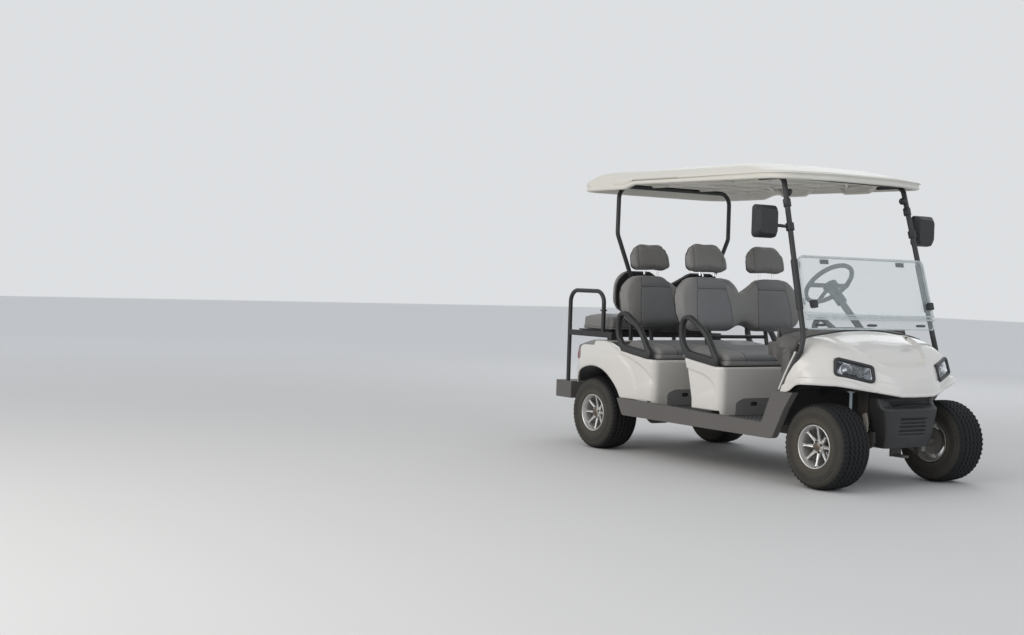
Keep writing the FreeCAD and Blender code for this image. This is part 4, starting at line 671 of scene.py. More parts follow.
def rim(corner, x, half_track, side):
    """A turned barrel with a rolled outer lip, spokes whose width falls from hub to barrel, and a turned hub
    with a dish, a raised ring, a cap and nuts. Spoke section: a rounded bar with a ridge along each edge."""
    share = np.linspace(0, 1, SPOKE_ROWS)[:, None]
    half_width = 9.5 - 3.0 * smooth_step(share, 0, 0.75) + 4 * smooth_step(share, 0.86, 1)
    face = 60 + 11 * smooth_step(share, 0, 0.8) + 6 * bell(share - 1, 0.15)
    wide, deep = half_width * SPOKE_SECTION[:, 0], face + SPOKE_SECTION[:, 1]
    out = np.broadcast_to(27 + share * 77, wide.shape)
    barrel = revolved(RIM_OUTLINE, turns(96))
    grids = [(barrel, True, True), (revolved(HUB_OUTLINE, turns(96)), True, False)]
    for angle in turns(SPOKES):
        sine, cosine = math.sin(angle), math.cos(angle)
        spoke = np.stack([out * sine + wide * cosine, deep, out * cosine - wide * sine], -1)
        grids.append((spoke, False, True))
    flat = turns(NUT_POINTS)[:, None]
    angular = NUT_OUTLINE[:, 1] * (1 + 0.08 * np.cos(6 * flat))
    for angle in turns(NUT_COUNT) + math.pi / NUT_COUNT:
        nut = np.stack([angular * np.cos(flat) + NUT_CIRCLE * math.sin(angle),
                        np.broadcast_to(NUT_OUTLINE[:, 0], angular.shape),
                        angular * np.sin(flat) + NUT_CIRCLE * math.cos(angle)], -1)
        grids.append((nut, True, False))
    points, faces, front, start = [], [], [], 0
    for grid, wrap_rows, wrap_columns in grids:
        rows, columns = grid.shape[:2]
        faces.append(grid_faces(rows, columns, wrap_rows, wrap_columns, start))
        points.append(grid.reshape(-1, 3))
        height = points[-1][:, 1]
        far = np.hypot(points[-1][:, 0], points[-1][:, 2])
        lip = smooth_step(height, 78, 88) * (far > 100)
        front.append(lip if grid is barrel else smooth_step(height, 44, 60))
        start += rows * columns
    flat = np.concatenate(points)
    made = mesh_object("rim_%s_cast" % corner, flat * (1, side, 1) + (x, side * half_track, AXLE_Z),
                       np.concatenate(faces))
    # A low front share marks the barrel, which the wheel's paint darkens as painted shade and brake dust
    store(made, "front", np.concatenate(front))
    store(made, "cap", (np.hypot(flat[:, 0], flat[:, 2]) < 22) * (flat[:, 1] > 73.8) * 1.0)
    facing_out(made)
    fit(made, "wheel_silver", "wheel_" + corner, "alloy", "rim_" + corner)


def wheel_silver():
    """Silver paint on the face of the wheel, darker towards the barrel behind the spokes: partly brake dust,
    partly painted shade.
    """
    finish = Finish("wheel_silver_paint")
    front = finish.attribute("front")
    drift = finish.noise(24.0, 4.0)
    specks = finish.noise(300.0, 2.0)
    colour = finish.mixed(drift, (0.58, 0.575, 0.56), (0.70, 0.695, 0.68))
    # Painted shade and brake dust: the barrel behind the spokes is painted darker
    colour = finish.mixed(1 - front, colour, (0.40, 0.39, 0.37))
    colour = finish.mixed(finish.attribute("cap"), colour, (0.16, 0.13, 0.10))
    return finish.principled(Base_Color=colour, Metallic=front * 0.5 + 0.3,
                             Roughness=specks * 0.12 + 0.34 - front * 0.08,
                             Normal=finish.bumped(specks, 0.00003))


finishes["wheel_silver"] = wheel_silver()
for corner_row in WHEEL_CORNERS:
    tyre(*corner_row)
    rim(*corner_row)

# Front cowl

COWL_HALF = 584.0
# Half width, rear x, rear z, brow x, brow z, lip x, lip z, hood bulge, nose bulge
COWL_ROWS = np.array([
    (0, -203, 839, 186, 592, 206, 497, 30, 7), (140, -203, 834, 168, 602, 192, 499, 29, 7),
    (250, -203, 822, 112, 650, 146, 505, 26, 6), (425, -203, 797, 12, 702, 74, 540, 18, 8),
    (500, -203, 758, -50, 680, 28, 555, 12, 10), (555, -222, 690, -100, 632, -14, 560, 8, 8),
    (584, -240, 600, -140, 580, -60, 560, 3, 3)], float)
ARCH_LINE = rounded([((-170, 500), 0), ((-104, 548), 60), ((40, 574), 200), ((150, 553), 90),
                     ((260, 500), 0)], 10, False)
NOSE_LINE = rounded([((0, 482), 0), ((455, 552), 120), ((700, 560), 0)], 10, False)
LAMP_CORNERS = np.array([(10, -430, 702), (112, -243, 659), (130, -245, 567), (34, -452, 608)], float)
ACROSS = np.concatenate([np.linspace(0, 150, 20, endpoint=False), np.linspace(150, 330, 50, endpoint=False),
                         np.linspace(330, COWL_HALF, 54)])
ALONG = 120
PAINT_WALL = 0.006


def lamp_plane():
    """The lamp's middle, its normal, two axes in its plane and its corners on them."""
    middle = LAMP_CORNERS.mean(0)
    normal = unit(np.cross(LAMP_CORNERS[2] - LAMP_CORNERS[0], LAMP_CORNERS[3] - LAMP_CORNERS[1]))
    normal *= math.copysign(1, normal[0])
    across = unit(np.cross((0, 0, 1), normal))
    up = np.cross(normal, across)
    away = LAMP_CORNERS - middle
    return middle, normal, across, up, np.stack([away @ across, away @ up], 1)


def outside_lamp(points):
    """Signed distance from the lamp's outline in its own plane, below zero inside it, and height above it."""
    middle, normal, across, up, corners = lamp_plane()
    mirrored = np.array(points, float)
    mirrored[..., 1] = -np.abs(mirrored[..., 1])
    away = mirrored - middle
    flat = np.stack([away @ across, away @ up], -1)
    edge = np.roll(corners, -1, axis=0) - corners
    edge_normal = unit(np.stack([edge[:, 1], -edge[:, 0]], 1))
    if edge_normal[0] @ (corners.mean(0) - corners[0]) > 0:
        edge_normal *= -1
    distance = np.stack([(flat - corner) @ out for corner, out in zip(corners, edge_normal)], -1)
    return distance.max(-1), away @ normal


def cowl_sections(half_widths):
    """For each half width a curve from the rear edge over the hood, round the brow, down the nose and on
    downwards: two parabolas with their bulges, blurred along, cut off where they meet the arch or the lip."""
    rows = curve_through(COWL_ROWS[:, 0], COWL_ROWS[:, 1:], half_widths)
    rear, brow, lip = rows[:, 0:2], rows[:, 2:4], rows[:, 4:6]
    hood_share = np.linspace(0, 1, 260)
    nose_share = np.linspace(0, 1, 120)[1:]

    def bowed(start, end, bulge, share):
        run = end - start
        length = np.linalg.norm(run, axis=1)[:, None]
        up = np.stack([-run[:, 1], run[:, 0]], 1) / length
        return (start[:, None] + run[:, None] * share[None, :, None]
                + up[:, None] * (4 * bulge[:, None] * share * (1 - share))[..., None])
    hood = bowed(rear, brow, rows[:, 6], hood_share)
    nose = bowed(brow, lip, rows[:, 7], nose_share)
    toe = lip[:, None] + np.stack([np.zeros(30), -np.linspace(1, 90, 30)], 1)[None]
    curve = np.concatenate([hood, nose, toe], 1)
    padded = np.pad(curve, ((0, 0), (13, 13), (0, 0)), "edge")
    blurred = np.apply_along_axis(np.convolve, 1, padded, weights(27), "valid")
    ease = smooth_step(np.arange(curve.shape[1]), 2, 30)[None, :, None]
    curve = curve * (1 - ease) + blurred * ease
    arch = np.interp(curve[..., 0], ARCH_LINE[:, 0], ARCH_LINE[:, 1])
    nose_low = np.interp(half_widths, NOSE_LINE[:, 0], NOSE_LINE[:, 1])[:, None]
    floor = np.maximum(500.0, np.minimum(arch, nose_low))
    above = curve[..., 1] > floor
    above[:, :200] = True
    last = np.argmin(above, axis=1)
    # Beyond the struts the sheet starts in front of them
    ahead = curve[..., 0] > strut_line(curve[..., 1]) + 9
    first = np.where(np.abs(half_widths) > 500, np.argmax(ahead, axis=1), 0)
    return np.stack([evenly(line[begin:end + 1], ALONG) for line, begin, end in zip(curve, first, last)])


def strut_line(height):
    """How far forward the roof strut's middle stands beside the cowl at a height."""
    return np.interp(height, [505, 700, 735, 770, 810], [-226, -145, -135, -134, -139])


def cowl_half():
    """The cowl's right half as a grid: rows from the middle to the side, then down the flank, and columns
    from the rear edge to the lower edge."""
    curve = cowl_sections(ACROSS)
    sheet = np.stack([curve[..., 0], np.broadcast_to(ACROSS[:, None], curve.shape[:2]), curve[..., 1]], -1)
    share = np.linspace(0, 1, 15)[1:, None]
    edge = curve[-1]
    low = np.maximum(505.5, np.minimum(np.interp(edge[:, 0], ARCH_LINE[:, 0], ARCH_LINE[:, 1]), 556))
    low = np.minimum(low, edge[:, 1] - 0.5)
    flank_z = (1 - share) * edge[:, 1] + share * low
    lean = strut_line(flank_z) - strut_line(edge[:, 1])[None]
    flank_x = edge[:, 0] + lean * (1 - smooth_step(np.arange(ALONG), 0, 32))
    flank = np.stack([flank_x, np.full((14, ALONG), COWL_HALF), flank_z], -1)
    sheet = np.concatenate([sheet, flank])
    for _ in range(6):
        sheet[90:-1] = sheet[90:-1] * 0.5 + 0.25 * (sheet[89:-2] + sheet[91:])
    return sheet


def grid_normals(sheet):
    normal = np.cross(np.gradient(sheet, axis=0), np.gradient(sheet, axis=1))
    return normal / np.maximum(np.linalg.norm(normal, axis=-1, keepdims=True), 1e-9)


def shell(name, sheet, wall, finish, node_name):
    """A sheet that faces away from its own middle, with a wall on its inner side."""
    made = grid_object(name, sheet)
    middle = Vector(metres(sheet.reshape(-1, 3).mean(0)))
    if sum((polygon.center - middle).dot(polygon.normal) for polygon in list(made.data.polygons)[::53]) < 0:
        made.data.flip_normals()
    add_modifier(made, "SOLIDIFY", thickness=wall, offset=-1.0)
    return fit(made, finish, "chassis", finish, node_name)


def front_cowl():
    """Both halves in one sheet, with a wall. Creases, the arch band and the lamps' recesses are added along
    the normals."""
    half = cowl_half()
    other = half[1:].copy()
    other[..., 1] *= -1
    sheet = np.concatenate([other[::-1], half])
    normal = grid_normals(sheet)
    normal *= np.where(normal[..., 2:3].mean() > 0, 1, -1)
    x, y, z = sheet[..., 0], np.abs(sheet[..., 1]), sheet[..., 2]
    # The U-shaped crease of the hood: its panel lies lower inside, lowest just above the bottom of the U
    width = curve_through([-203, -130, -60, -7, 47, 89, 116], [318, 305, 288, 258, 225, 192, 150], x)
    front_edge = 114 - 0.00035 * y ** 2
    beyond = np.where((x > 40) & (y < 150), x - front_edge, y - width)
    corner = np.hypot(np.maximum(y - 150, 0), np.maximum(x - front_edge + 45, 0)) - 45
    beyond = np.where((x > 60) & (y >= 150), corner, beyond)
    hollow = np.clip(1 - (front_edge - x) / 52, 0, 1) ** 2 * smooth_step(y, 215, 160)
    crease = (7.5 * bell(beyond, 6) - 8.0 * smooth_step(-beyond, 0, 14)) * smooth_step(x, -200, -150)
    scoop = -22.0 * smooth_step(-beyond, 0, 9) * hollow
    # The band round the arch and along the lip, proud of the flank
    steps = np.linalg.norm(np.diff(sheet, axis=1), axis=-1)
    remaining = np.pad(np.cumsum(steps[:, ::-1], axis=1)[:, ::-1], ((0, 0), (0, 1)))
    arch_height = z - np.minimum(np.interp(x, ARCH_LINE[:, 0], ARCH_LINE[:, 1]), 560)
    on_flank = smooth_step(y, 560, 582)
    to_edge = remaining * (1 - on_flank) + np.maximum(arch_height, 0) * on_flank
    tall = 17 + 29 * smooth_step(y, 230, 430)
    band = 12.0 * (1 - smooth_step(to_edge, tall - 6, tall)) - 4.0 * (1 - smooth_step(to_edge, 0, 8))
    ridge = 1.2 * bell(to_edge - tall + 9, 4)
    # The ledge between the lamps runs out on a slant down to the lip
    under = np.minimum(66 - to_edge, 262 - y - 0.5 * (to_edge - 17))
    ridge = ridge + 8.0 * smooth_step(under, 0, 6) * (x > 60)
    outside, ahead = outside_lamp(sheet)
    recess = smooth_step(-outside, 3, 9) * (ahead > -60)
    sheet = sheet + normal * (crease + scoop + band + ridge)[..., None]
    lamp_normal = lamp_plane()[1]
    both = np.stack([np.full(y.shape, lamp_normal[0]), np.sign(sheet[..., 1]) * -lamp_normal[1],
                     np.full(y.shape, lamp_normal[2])], -1)
    sheet = sheet - both * (52 * recess)[..., None]
    shell("cowl_shell", sheet, PAINT_WALL, "body_paint", "front_cowl")
    return sheet


cowl_sheet = front_cowl()

# Seats

def settle(made):
    """Applies what modifiers stand on a mesh."""
    graph = bpy.context.evaluated_depsgraph_get()
    mesh = bpy.data.meshes.new_from_object(made.evaluated_get(graph))
    made.modifiers.clear()
    made.data = mesh
    mesh.shade_smooth()
    return made


def normals_of(made):
    found = np.zeros(len(made.data.vertices) * 3)
    made.data.vertex_normals.foreach_get("vector", found)
    return found.reshape(-1, 3)


def put_points(made, points):
    made.data.vertices.foreach_set("co", np.asarray(points, float).ravel())
    made.data.update()


def placed(made):
    """The points of a mesh in millimetres from the front axle."""
    return millimetres(points_of(made))


def even_net(name, node_name, voxel, drawn_in):
    """A copy of a soft solid as an even net of four-sided faces, drawn in along its normals."""
    made = facing_out(linked(name, nodes[node_name].data.copy()))
    add_modifier(made, "REMESH", mode="VOXEL", voxel_size=voxel)
    settle(made)
    put_points(made, points_of(made) - normals_of(made) * drawn_in * MM)
    return made


PRESSURE, FRAMES = 4.0, 20


def stuffed(made, cap, loose):
    """Filled by simulated pressure. A point moves no further than the cap, times its loose share."""
    start = points_of(made)
    if thorough:
        modifier = add_modifier(made, "CLOTH")
        modifier.settings.quality = 4
        modifier.settings.use_pressure = True
        modifier.settings.uniform_pressure_force = PRESSURE
        modifier.settings.effector_weights.gravity = 0.0
        modifier.point_cache.frame_start = 1
        modifier.point_cache.frame_end = FRAMES
        for step in range(1, FRAMES + 1):
            bpy.context.scene.frame_set(step)
        settle(made)
        bpy.context.scene.frame_set(1)
        moved = points_of(made) - start
        length = np.maximum(np.linalg.norm(moved, axis=1), 1e-9)[:, None]
        limit = cap * MM
        put_points(made, start + moved / length * limit * np.tanh(length / limit) * loose[:, None])
    add_modifier(made, "SUBSURF", levels=1, render_levels=1)
    return settle(made)


def sewn(made, seam, panel, sunk, pillow, body, *stands_for, finish="seat_vinyl"):
    """Sinks the seams into a stuffed piece, raises what lies between them, and keeps both distances for its
    vinyl."""
    relief = pillow - sunk * bell(seam, 4.5)
    put_points(made, points_of(made) + normals_of(made) * (relief * MM)[:, None])
    store(made, "seam", seam)
    store(made, "panel", panel)
    return fit(made, finish, body, "seat_vinyl", *stands_for)


def nearest(*distances):
    """Of several signed distances, the one nearest to nothing."""
    stack = np.stack(np.broadcast_arrays(*distances))
    return np.take_along_axis(stack, np.abs(stack).argmin(0)[None], 0)[0]


def domed(share):
    """1 in the middle and 0 at a share of 1, as a parabola."""
    return np.clip(1 - share ** 2, 0, 1)


LEAN, REAR_LEAN = math.radians(12), math.radians(-5)
# Distances that stand for no seam near, for no edge near and for outside the panel
NO_SEAM, NO_EDGE, OUTSIDE = 60, 99, -60.0
BACK_FOOT_Z, LOBE_Y, CROSS_SEAM = 792, 246, 256
# Height up the face, half width of the panel
LOBE_PANEL = ([-40, 0, 40, 170, 262, 342, 400], [112, 128, 140, 131, 114, 103, 92])


def leaned(points, face_x, foot_z, lean):
    """Height up a leaning face and depth ahead of it."""
    x, z = points[:, 0] - face_x, points[:, 2] - foot_z
    return z * math.cos(lean) - x * math.sin(lean), x * math.cos(lean) + z * math.sin(lean)


def double_backrest(name, node_name, face_x):
    """Two lobes side by side. Each has an inset panel that widens downwards and a seam across it."""
    made = even_net(name, node_name, 0.0136, 4.0)
    depth = leaned(placed(made), face_x, BACK_FOOT_Z, LEAN)[1]
    made = stuffed(made, 11, smooth_step(depth, -66, -40))
    points = placed(made)
    height, depth = leaned(points, face_x, BACK_FOOT_Z, LEAN)
    front = smooth_step(depth, -46, -24)
    across = np.abs(points[:, 1]) - LOBE_Y
    half = curve_through(*LOBE_PANEL, height)
    upright = np.abs(across) - half
    above = height - CROSS_SEAM
    seam = np.where(depth > -40, nearest(upright, np.where(upright < 0, above, NO_EDGE)), NO_SEAM)
    pillow = front * (4.5 * domed(across / half) * smooth_step(np.abs(above), 0, 30)
                      + 2.5 * bell(upright - 45, 30)) - 1.5 * front
    sewn(made, seam, np.where(depth > -40, -upright, OUTSIDE), 4.0 * front, pillow, "chassis", node_name)


# The cushion's underside is lower over this length of its front than behind it
BENCH_STEP, BENCH_LOW, BENCH_HIGH = 262, 597.5, 624.5


def bench_seat(name, node_name, front_x, length):
    """A bench cushion: a top panel whose end seams run forward and inward, then down the rounded front."""
    made = even_net(name, node_name, 0.0144, 4.0)

    def height_above(points):
        return points[:, 2] - np.where(points[:, 0] > front_x - BENCH_STEP, BENCH_LOW, BENCH_HIGH)
    made = stuffed(made, 12, smooth_step(height_above(placed(made)), 8, 40))
    points = placed(made)
    x, y, z = points.T
    behind, above = front_x - x, height_above(points)
    side = np.abs(y) - curve_through([-20, 0, 40, 200, length + 30], [352, 352, 356, 420, 440], behind)
    rear = behind - (length - 44)
    seam = nearest(side, np.where(side < 0, rear, NO_EDGE), np.where(np.abs(z - 640) < 25, z - 634, NO_EDGE))
    seam = np.where(above > 18, seam, NO_SEAM)
    soft = smooth_step(above, 10, 40)
    pillow = soft * (4.0 * domed(y / 400) * (side < 0) - 1.0)
    wrinkle = 0.8 * np.sin(y / 17.0 + 2.2 * np.sin(x / 41.0)) * bell(side, 28) * soft
    sewn(made, seam, np.where(above > 30, -side, OUTSIDE), 4.2 * soft, pillow + wrinkle, "chassis", node_name)


HEADREST_Y, HEADREST_HALF, HEADREST_FOOT_Z = 245, 150, 1118.6
# Where the front and the second row of headrests stand, and a plane between them
HEADREST_X, BETWEEN_ROWS_X = (-1252.3, -1794.3), -1500


def headrest_pads():
    """Four headrests, each with an upright seam near either end and a dark welt round its back."""
    made = even_net("headrest_pads", "headrests", 0.011, 3.0)

    def own_frame(points):
        return leaned(points, np.where(points[:, 0] > BETWEEN_ROWS_X, *HEADREST_X), HEADREST_FOOT_Z, LEAN)
    points = placed(made)
    height, depth = own_frame(points)
    centre = HEADREST_Y * np.sign(points[:, 1])
    out = (points[:, 1] - centre) / HEADREST_HALF
    narrow = 1 - 0.10 * smooth_step(height, 90, 215) - 0.12 * smooth_step(height, 60, 15)
    points[:, 1] = centre + out * HEADREST_HALF * narrow
    points[:, 2] -= 14 * out ** 4 * smooth_step(height, 90, 190)
    put_points(made, metres(points))
    made = stuffed(made, 10, np.ones(len(points)))
    points = placed(made)
    height, depth = own_frame(points)
    across = np.abs(np.abs(points[:, 1]) - HEADREST_Y)
    half = curve_through([0, 24, 115, 206, 240], [112, 116, 112, 98, 92], height)
    middle = depth - np.median(depth)
    back = -16 - middle
    seam = nearest(np.where(middle > 0, across - half, NO_SEAM), np.where(np.abs(back) < 30, back, NO_EDGE))
    sewn(made, seam, np.full(len(points), OUTSIDE), 2.6, 1.6 * domed(across / half) * (middle > 0), "chassis",
         "headrests", finish="headrest_vinyl")
    store(made, "dark", smooth_step(back, -2, 0))


REAR_SEAT_TOP_Z = 800
REAR_BACK_X, REAR_BACK_Z = -1966, 872


def rear_pads():
    """The flip seat's cushion and the low backrest that faces it, each with a seam inside its edge."""
    made = even_net("rear_seat_pad", "rear_cushion", 0.0128, 3.0)
    made = stuffed(made, 9, smooth_step(placed(made)[:, 2], 755, 790))
    x, y, z = placed(made).T
    inset = np.minimum(418 - np.abs(y), np.minimum(x + 2303, -1976 - x)) - 62
    rib = np.abs(y) - 132
    on_top = z > REAR_SEAT_TOP_Z
    seam = np.where(on_top, nearest(inset, np.where(inset > 0, rib, NO_EDGE)), z - 770)
    top = smooth_step(z, 790, 830)
    sewn(made, seam, np.where(on_top, inset, OUTSIDE), 3.6 * top + 2.0 * (1 - top), 2.0 * top * (inset > 0),
         "rear_bench", "rear_cushion")
    made = even_net("rear_seat_backrest", "backrest_rear", 0.012, 3.0)
    backwards = -leaned(placed(made), REAR_BACK_X, REAR_BACK_Z, REAR_LEAN)[1]
    made = stuffed(made, 9, smooth_step(backwards, -38, -22))
    points = placed(made)
    height, ahead = leaned(points, REAR_BACK_X, REAR_BACK_Z, REAR_LEAN)
    across = np.abs(points[:, 1]) - 225
    upright = np.abs(across) - curve_through([0, 138, 276], [118, 112, 92], height)
    face = smooth_step(-ahead, -30, -14)
    sewn(made, np.where(ahead < 26, upright, NO_SEAM), np.where(ahead < 26, -upright, OUTSIDE), 3.4 * face,
         2.5 * face * np.clip(-upright / 60, 0, 1), "chassis", "backrest_rear")


double_backrest("front_backrest_pad", "backrest_front", -1144)
double_backrest("second_backrest_pad", "backrest_second", -1686)
bench_seat("front_bench_pad", "cushion_front", -742, 415)
bench_seat("second_bench_pad", "cushion_second", -1360, 352)
headrest_pads()
rear_pads()

# Rear body and front seat base

FRONT_BASE_X, REAR_BASE_X = -738.0, -1356.0
# Half width at the inner edge of the decks
INNER_HALF = 519.0
# Lowest edges: on the floor, over the rocker, and at the tail
FLOOR_EDGE, ROCKER_EDGE, TAIL_EDGE = 319.5, 347.0, 404.0
DECK_BACK_X = -1838.0
REAR_TOP_LINE = rounded([((-1356, 319), 0), ((-1356, 597), 10), ((-1406, 601), 60), ((-1690, 640), 300),
                         ((-1850, 692), 200), ((-1990, 686), 160), ((-2130, 640), 120), ((-2215, 560), 70),
                         ((-2215, 404), 0)], 8, False)[1:-1]
REAR_PLAN = rounded([((-1356, 0), 0), ((-1356, 560), 60), ((-1600, 560), 150), ((-1730, 585), 300),
                     ((-2060, 585), 150), ((-2215, 498), 60), ((-2215, 0), 0)], 12, False)
SHOULDER_CREASE = np.array([(-1690, 636), (-1666, 627), (-1560, 592), (-1475, 562), (-1412, 530),
                            (-1378, 498), (-1366, 465), (-1362, 415)], float)
BASE_CREASE = np.array([(-1030, 575), (-1001, 570), (-931, 559), (-875, 546), (-824, 521), (-799, 499),
                        (-783, 468), (-776, 420)], float)
REAR_ARCH_Z, ARCH_RADIUS = 240.0, 288.0
SCOOP_DEPTH, SCOOP_FADE = 9.0, 95


def beyond_line(line, x, z):
    """Signed distance of points from a line, above zero on its upper side, and how far along it each is."""
    start, run = line[:-1], np.diff(line, axis=0)
    length = np.linalg.norm(run, axis=1)
    across, up = (run / length[:, None]).T
    away_x, away_z = x[..., None] - start[:, 0], z[..., None] - start[:, 1]
    along = np.clip(away_x * across + away_z * up, 0, length)
    off_x, off_z = away_x - along * across, away_z - along * up
    distance = np.hypot(off_x, off_z)
    pick = distance.argmin(-1)[..., None]

    def picked(values):
        return np.take_along_axis(values, pick, -1)[..., 0]
    travelled = picked(along + np.concatenate([[0], np.cumsum(length)[:-1]]))
    return picked(distance) * np.sign(picked(across * off_z - up * off_x)), travelled / length.sum()


def scooped(crease, x, z):
    """How far a side sinks below a crease: deepest next to it, and running out at the crease's lower end."""
    away, along = beyond_line(crease, x, z)
    below = np.maximum(-away, 0)
    return (-SCOOP_DEPTH * smooth_step(below, 0, 8) * np.exp(-below / SCOOP_FADE)
            * (1 - smooth_step(along, 0.78, 1.0)))


def crowned(height, across):
    """The height that the body's leaning sides allow at a distance from the cart's middle."""
    return np.minimum(height, np.interp(across, [480, 540, 578, 601], [760, 700, 620, 558]))


def columns_of(foot, top, inner, count, deck_height):
    """Columns that rise from foot to top and cross over to inner, at even steps, with a blurred top edge."""
    rise = np.linspace(0, 1, 60)[:, None]
    cross = np.linspace(0, 1, 41)[1:, None]
    found = []
    for low, high, far in zip(foot, top, inner):
        deck = high + (far - high) * cross
        deck[:, 2] = deck_height(deck[:, 0], deck[:, 1])
        column = evenly(np.concatenate([low + (high - low) * rise, deck]), count)
        column[4:-4] = np.apply_along_axis(np.convolve, 0, column, weights(9), "valid")
        found.append(column)
    return np.stack(found)


def leftward_normals(half, sample):
    """Normals of a right half that face outwards, judged by a sample of its side."""
    normal = grid_normals(half)
    return normal * np.where(normal[sample][..., 1].mean() > 0, 1, -1)


def body_shell(name, half, node_name):
    """A half, closed at the cart's middle, and its mirror image, with a painted wall."""
    half[0, :, 1] = 0
    half[-1, :, 1] = 0
    other = half[1:-1][::-1] * (1, -1, 1)
    shell(name, np.concatenate([half, other, half[:1]]), PAINT_WALL, "body_paint", node_name)


def rear_body():
    """Columns round the plan outline. Over the wheels the foot follows the arch. A wide rounded flare stands
    round the arch, and below the shoulder crease the side is scooped, deepest next to the crease."""
    x, y = evenly(REAR_PLAN, 190).T
    arch = REAR_ARCH_Z + np.sqrt(np.maximum(ARCH_RADIUS ** 2 - np.abs(x - REAR_AXLE_X) ** 2, 0))
    low = np.where(x > -1643, FLOOR_EDGE, np.where(x > -2157, np.maximum(arch, FLOOR_EDGE), TAIL_EDGE))
    low = np.where((x > -1662) & (y > 544), np.maximum(low, ROCKER_EDGE), low)
    low = np.where((y < 480) & (x < -2150), TAIL_EDGE, low)
    line_x, line_z = REAR_TOP_LINE[np.argsort(REAR_TOP_LINE[:, 0])].T

    def deck_height(at_x, at_y):
        return crowned(np.interp(at_x, line_x, line_z), np.abs(at_y))
    top_z = deck_height(x, y)
    behind = x < DECK_BACK_X
    first_behind = int(np.argmax(behind))
    share = np.clip((np.arange(len(x)) - first_behind) / (len(x) - 1 - first_behind), 0, 1)
    inner = np.stack([np.where(behind, DECK_BACK_X, np.minimum(x, -1378.0)),
                      np.where(behind, INNER_HALF * (1 - share), np.minimum(y, INNER_HALF)), top_z], 1)
    half = columns_of(np.stack([x, y, low], 1), np.stack([x, y, np.maximum(top_z, low + 20)], 1), inner, 62,
                      deck_height)
    normal = leftward_normals(half, np.s_[45:135, 22])
    x, y, z = np.moveaxis(half, -1, 0)
    side = smooth_step(y, 500, 556) * smooth_step(x, -2214, -2160)
    from_arch = np.hypot(x - REAR_AXLE_X, z - REAR_ARCH_Z) - ARCH_RADIUS
    bearing = np.arctan2(x - REAR_AXLE_X, np.maximum(z - REAR_ARCH_Z, 1))
    wide = curve_through([-1.2, -0.5, -0.1, 0.3, 0.6, 0.9, 1.3], [84, 86, 90, 118, 150, 163, 160], bearing)
    share = np.clip(from_arch / wide, 0, 1)
    flare = 13.0 * np.sqrt(np.clip(1 - share ** 2.4, 0, 1)) - 5.0 * (1 - smooth_step(from_arch, 0, 10))
    scoop = (scooped(SHOULDER_CREASE, x, z) * (z < 660) * smooth_step(x, -1700, -1640)
             * (1 - smooth_step(x, -1372, -1358)))
    half = half + normal * (side * np.where(from_arch < wide, flare * (z < 690), scoop))[..., None]
    body_shell("rear_body_shell", half, "rear_body")


def front_seat_base():
    """The same columns on the front bench's box, with its own crease and a rear edge that curves in."""
    x, y = evenly(rounded([((-738, 0), 0), ((-738, 560), 55), ((-1058, 560), 0)], 14, False), 124).T

    def deck_height(at_x, at_y):
        return np.interp(at_x, [-1058, -798, -738], [634, 599, 597])
    top_z = deck_height(x, y)
    inner = np.stack([np.minimum(x, -760.0), np.minimum(y, INNER_HALF), top_z], 1)
    low = np.where(y > 544, ROCKER_EDGE, FLOOR_EDGE)
    half = columns_of(np.stack([x, y, low], 1), np.stack([x, y, top_z], 1), inner, 48, deck_height)
    # The rear edge: columns behind x -950 close up towards the curve of the rear wall
    rear = np.interp(half[..., 2], [319, 400, 486, 560, 634], [-980, -985, -1008, -1031, -1058])
    squeeze = np.clip((-half[..., 0] - 950) / 108, 0, 1)
    half[..., 0] = np.where(half[..., 0] < -950, -950 + (rear + 950) * squeeze, half[..., 0])
    normal = leftward_normals(half, np.s_[120:, 20])
    x, y, z = np.moveaxis(half, -1, 0)
    scoop = (scooped(BASE_CREASE, x, z) * smooth_step(y, 530, 556) * (1 - smooth_step(x, -784, -766))
             * smooth_step(z, 640, 600))
    half = half + normal * scoop[..., None]
    back = np.linspace(0, 1, 30)[1:, None, None]
    closing = half[-1] * (1 - back) + half[-1] * (1, 0, 1) * back
    body_shell("front_seat_base_shell", np.concatenate([half, closing]), "front_seat_base")


rear_body()
front_seat_base()

# Lamps

def drawn_in(corners, inset):
    """A polygon's corners moved along their bisectors so that every edge shifts inwards by the inset."""
    moved = []
    for index, point in enumerate(corners):
        _, _, inward, half = corner_of(corners[index - 1], point, corners[(index + 1) % len(corners)])
        moved.append(point + inward * inset / math.sin(half))
    return moved


RING_POINTS = 112


def lamp_ring(inset, radius):
    """The lamp's outline drawn in, with rounded corners, as a closed ring in its plane."""
    line = rounded([(corner, radius) for corner in drawn_in(list(lamp_plane()[4]), inset)], 10)
    return closed_evenly(line, RING_POINTS)


def in_lamp(flat, lift, side):
    """Points of the lamp's plane, lifted off it, on the right side or mirrored to the left."""
    middle, normal, across, up, _ = lamp_plane()
    placed = middle + flat[..., :1] * across + flat[..., 1:2] * up + np.asarray(lift)[..., None] * normal
    placed[..., 1] *= -side
    return placed


def dished(name, rings, side):
    """A surface over rings in the lamp's plane, each at its own lift."""
    points = np.stack([in_lamp(ring, np.full(len(ring), lift), side) for ring, lift in rings])
    return facing_out(grid_object(name, points, False, True))


# Inset from the lamp's outline and height above its plane, and the same for the bowl
BEZEL_ROWS = ((2, -22), (-4.0, -18), (-4.3, 8), (-2.4, 13), (2.0, 16.8), (7, 17.5), (11, 16), (14, 11.5),
              (15.5, 4), (15.5, -14))
BOWL_ROWS = ((14, 6), (17, -2), (22, -16), (30, -28), (42, -36), (56, -40))
# Place in the lamp's plane and size of the two round reflectors, then their share of the size and height
EYES = (((-42, 6), 34), ((38, -6), 27))
EYE_ROWS = ((1.0, -36), (1.0, -8), (0.94, -4), (0.88, -8), (0.80, -20), (0.60, -27), (0.42, -30), (0.40, -22),
            (0.34, -16), (0.20, -12), (0.0, -11))


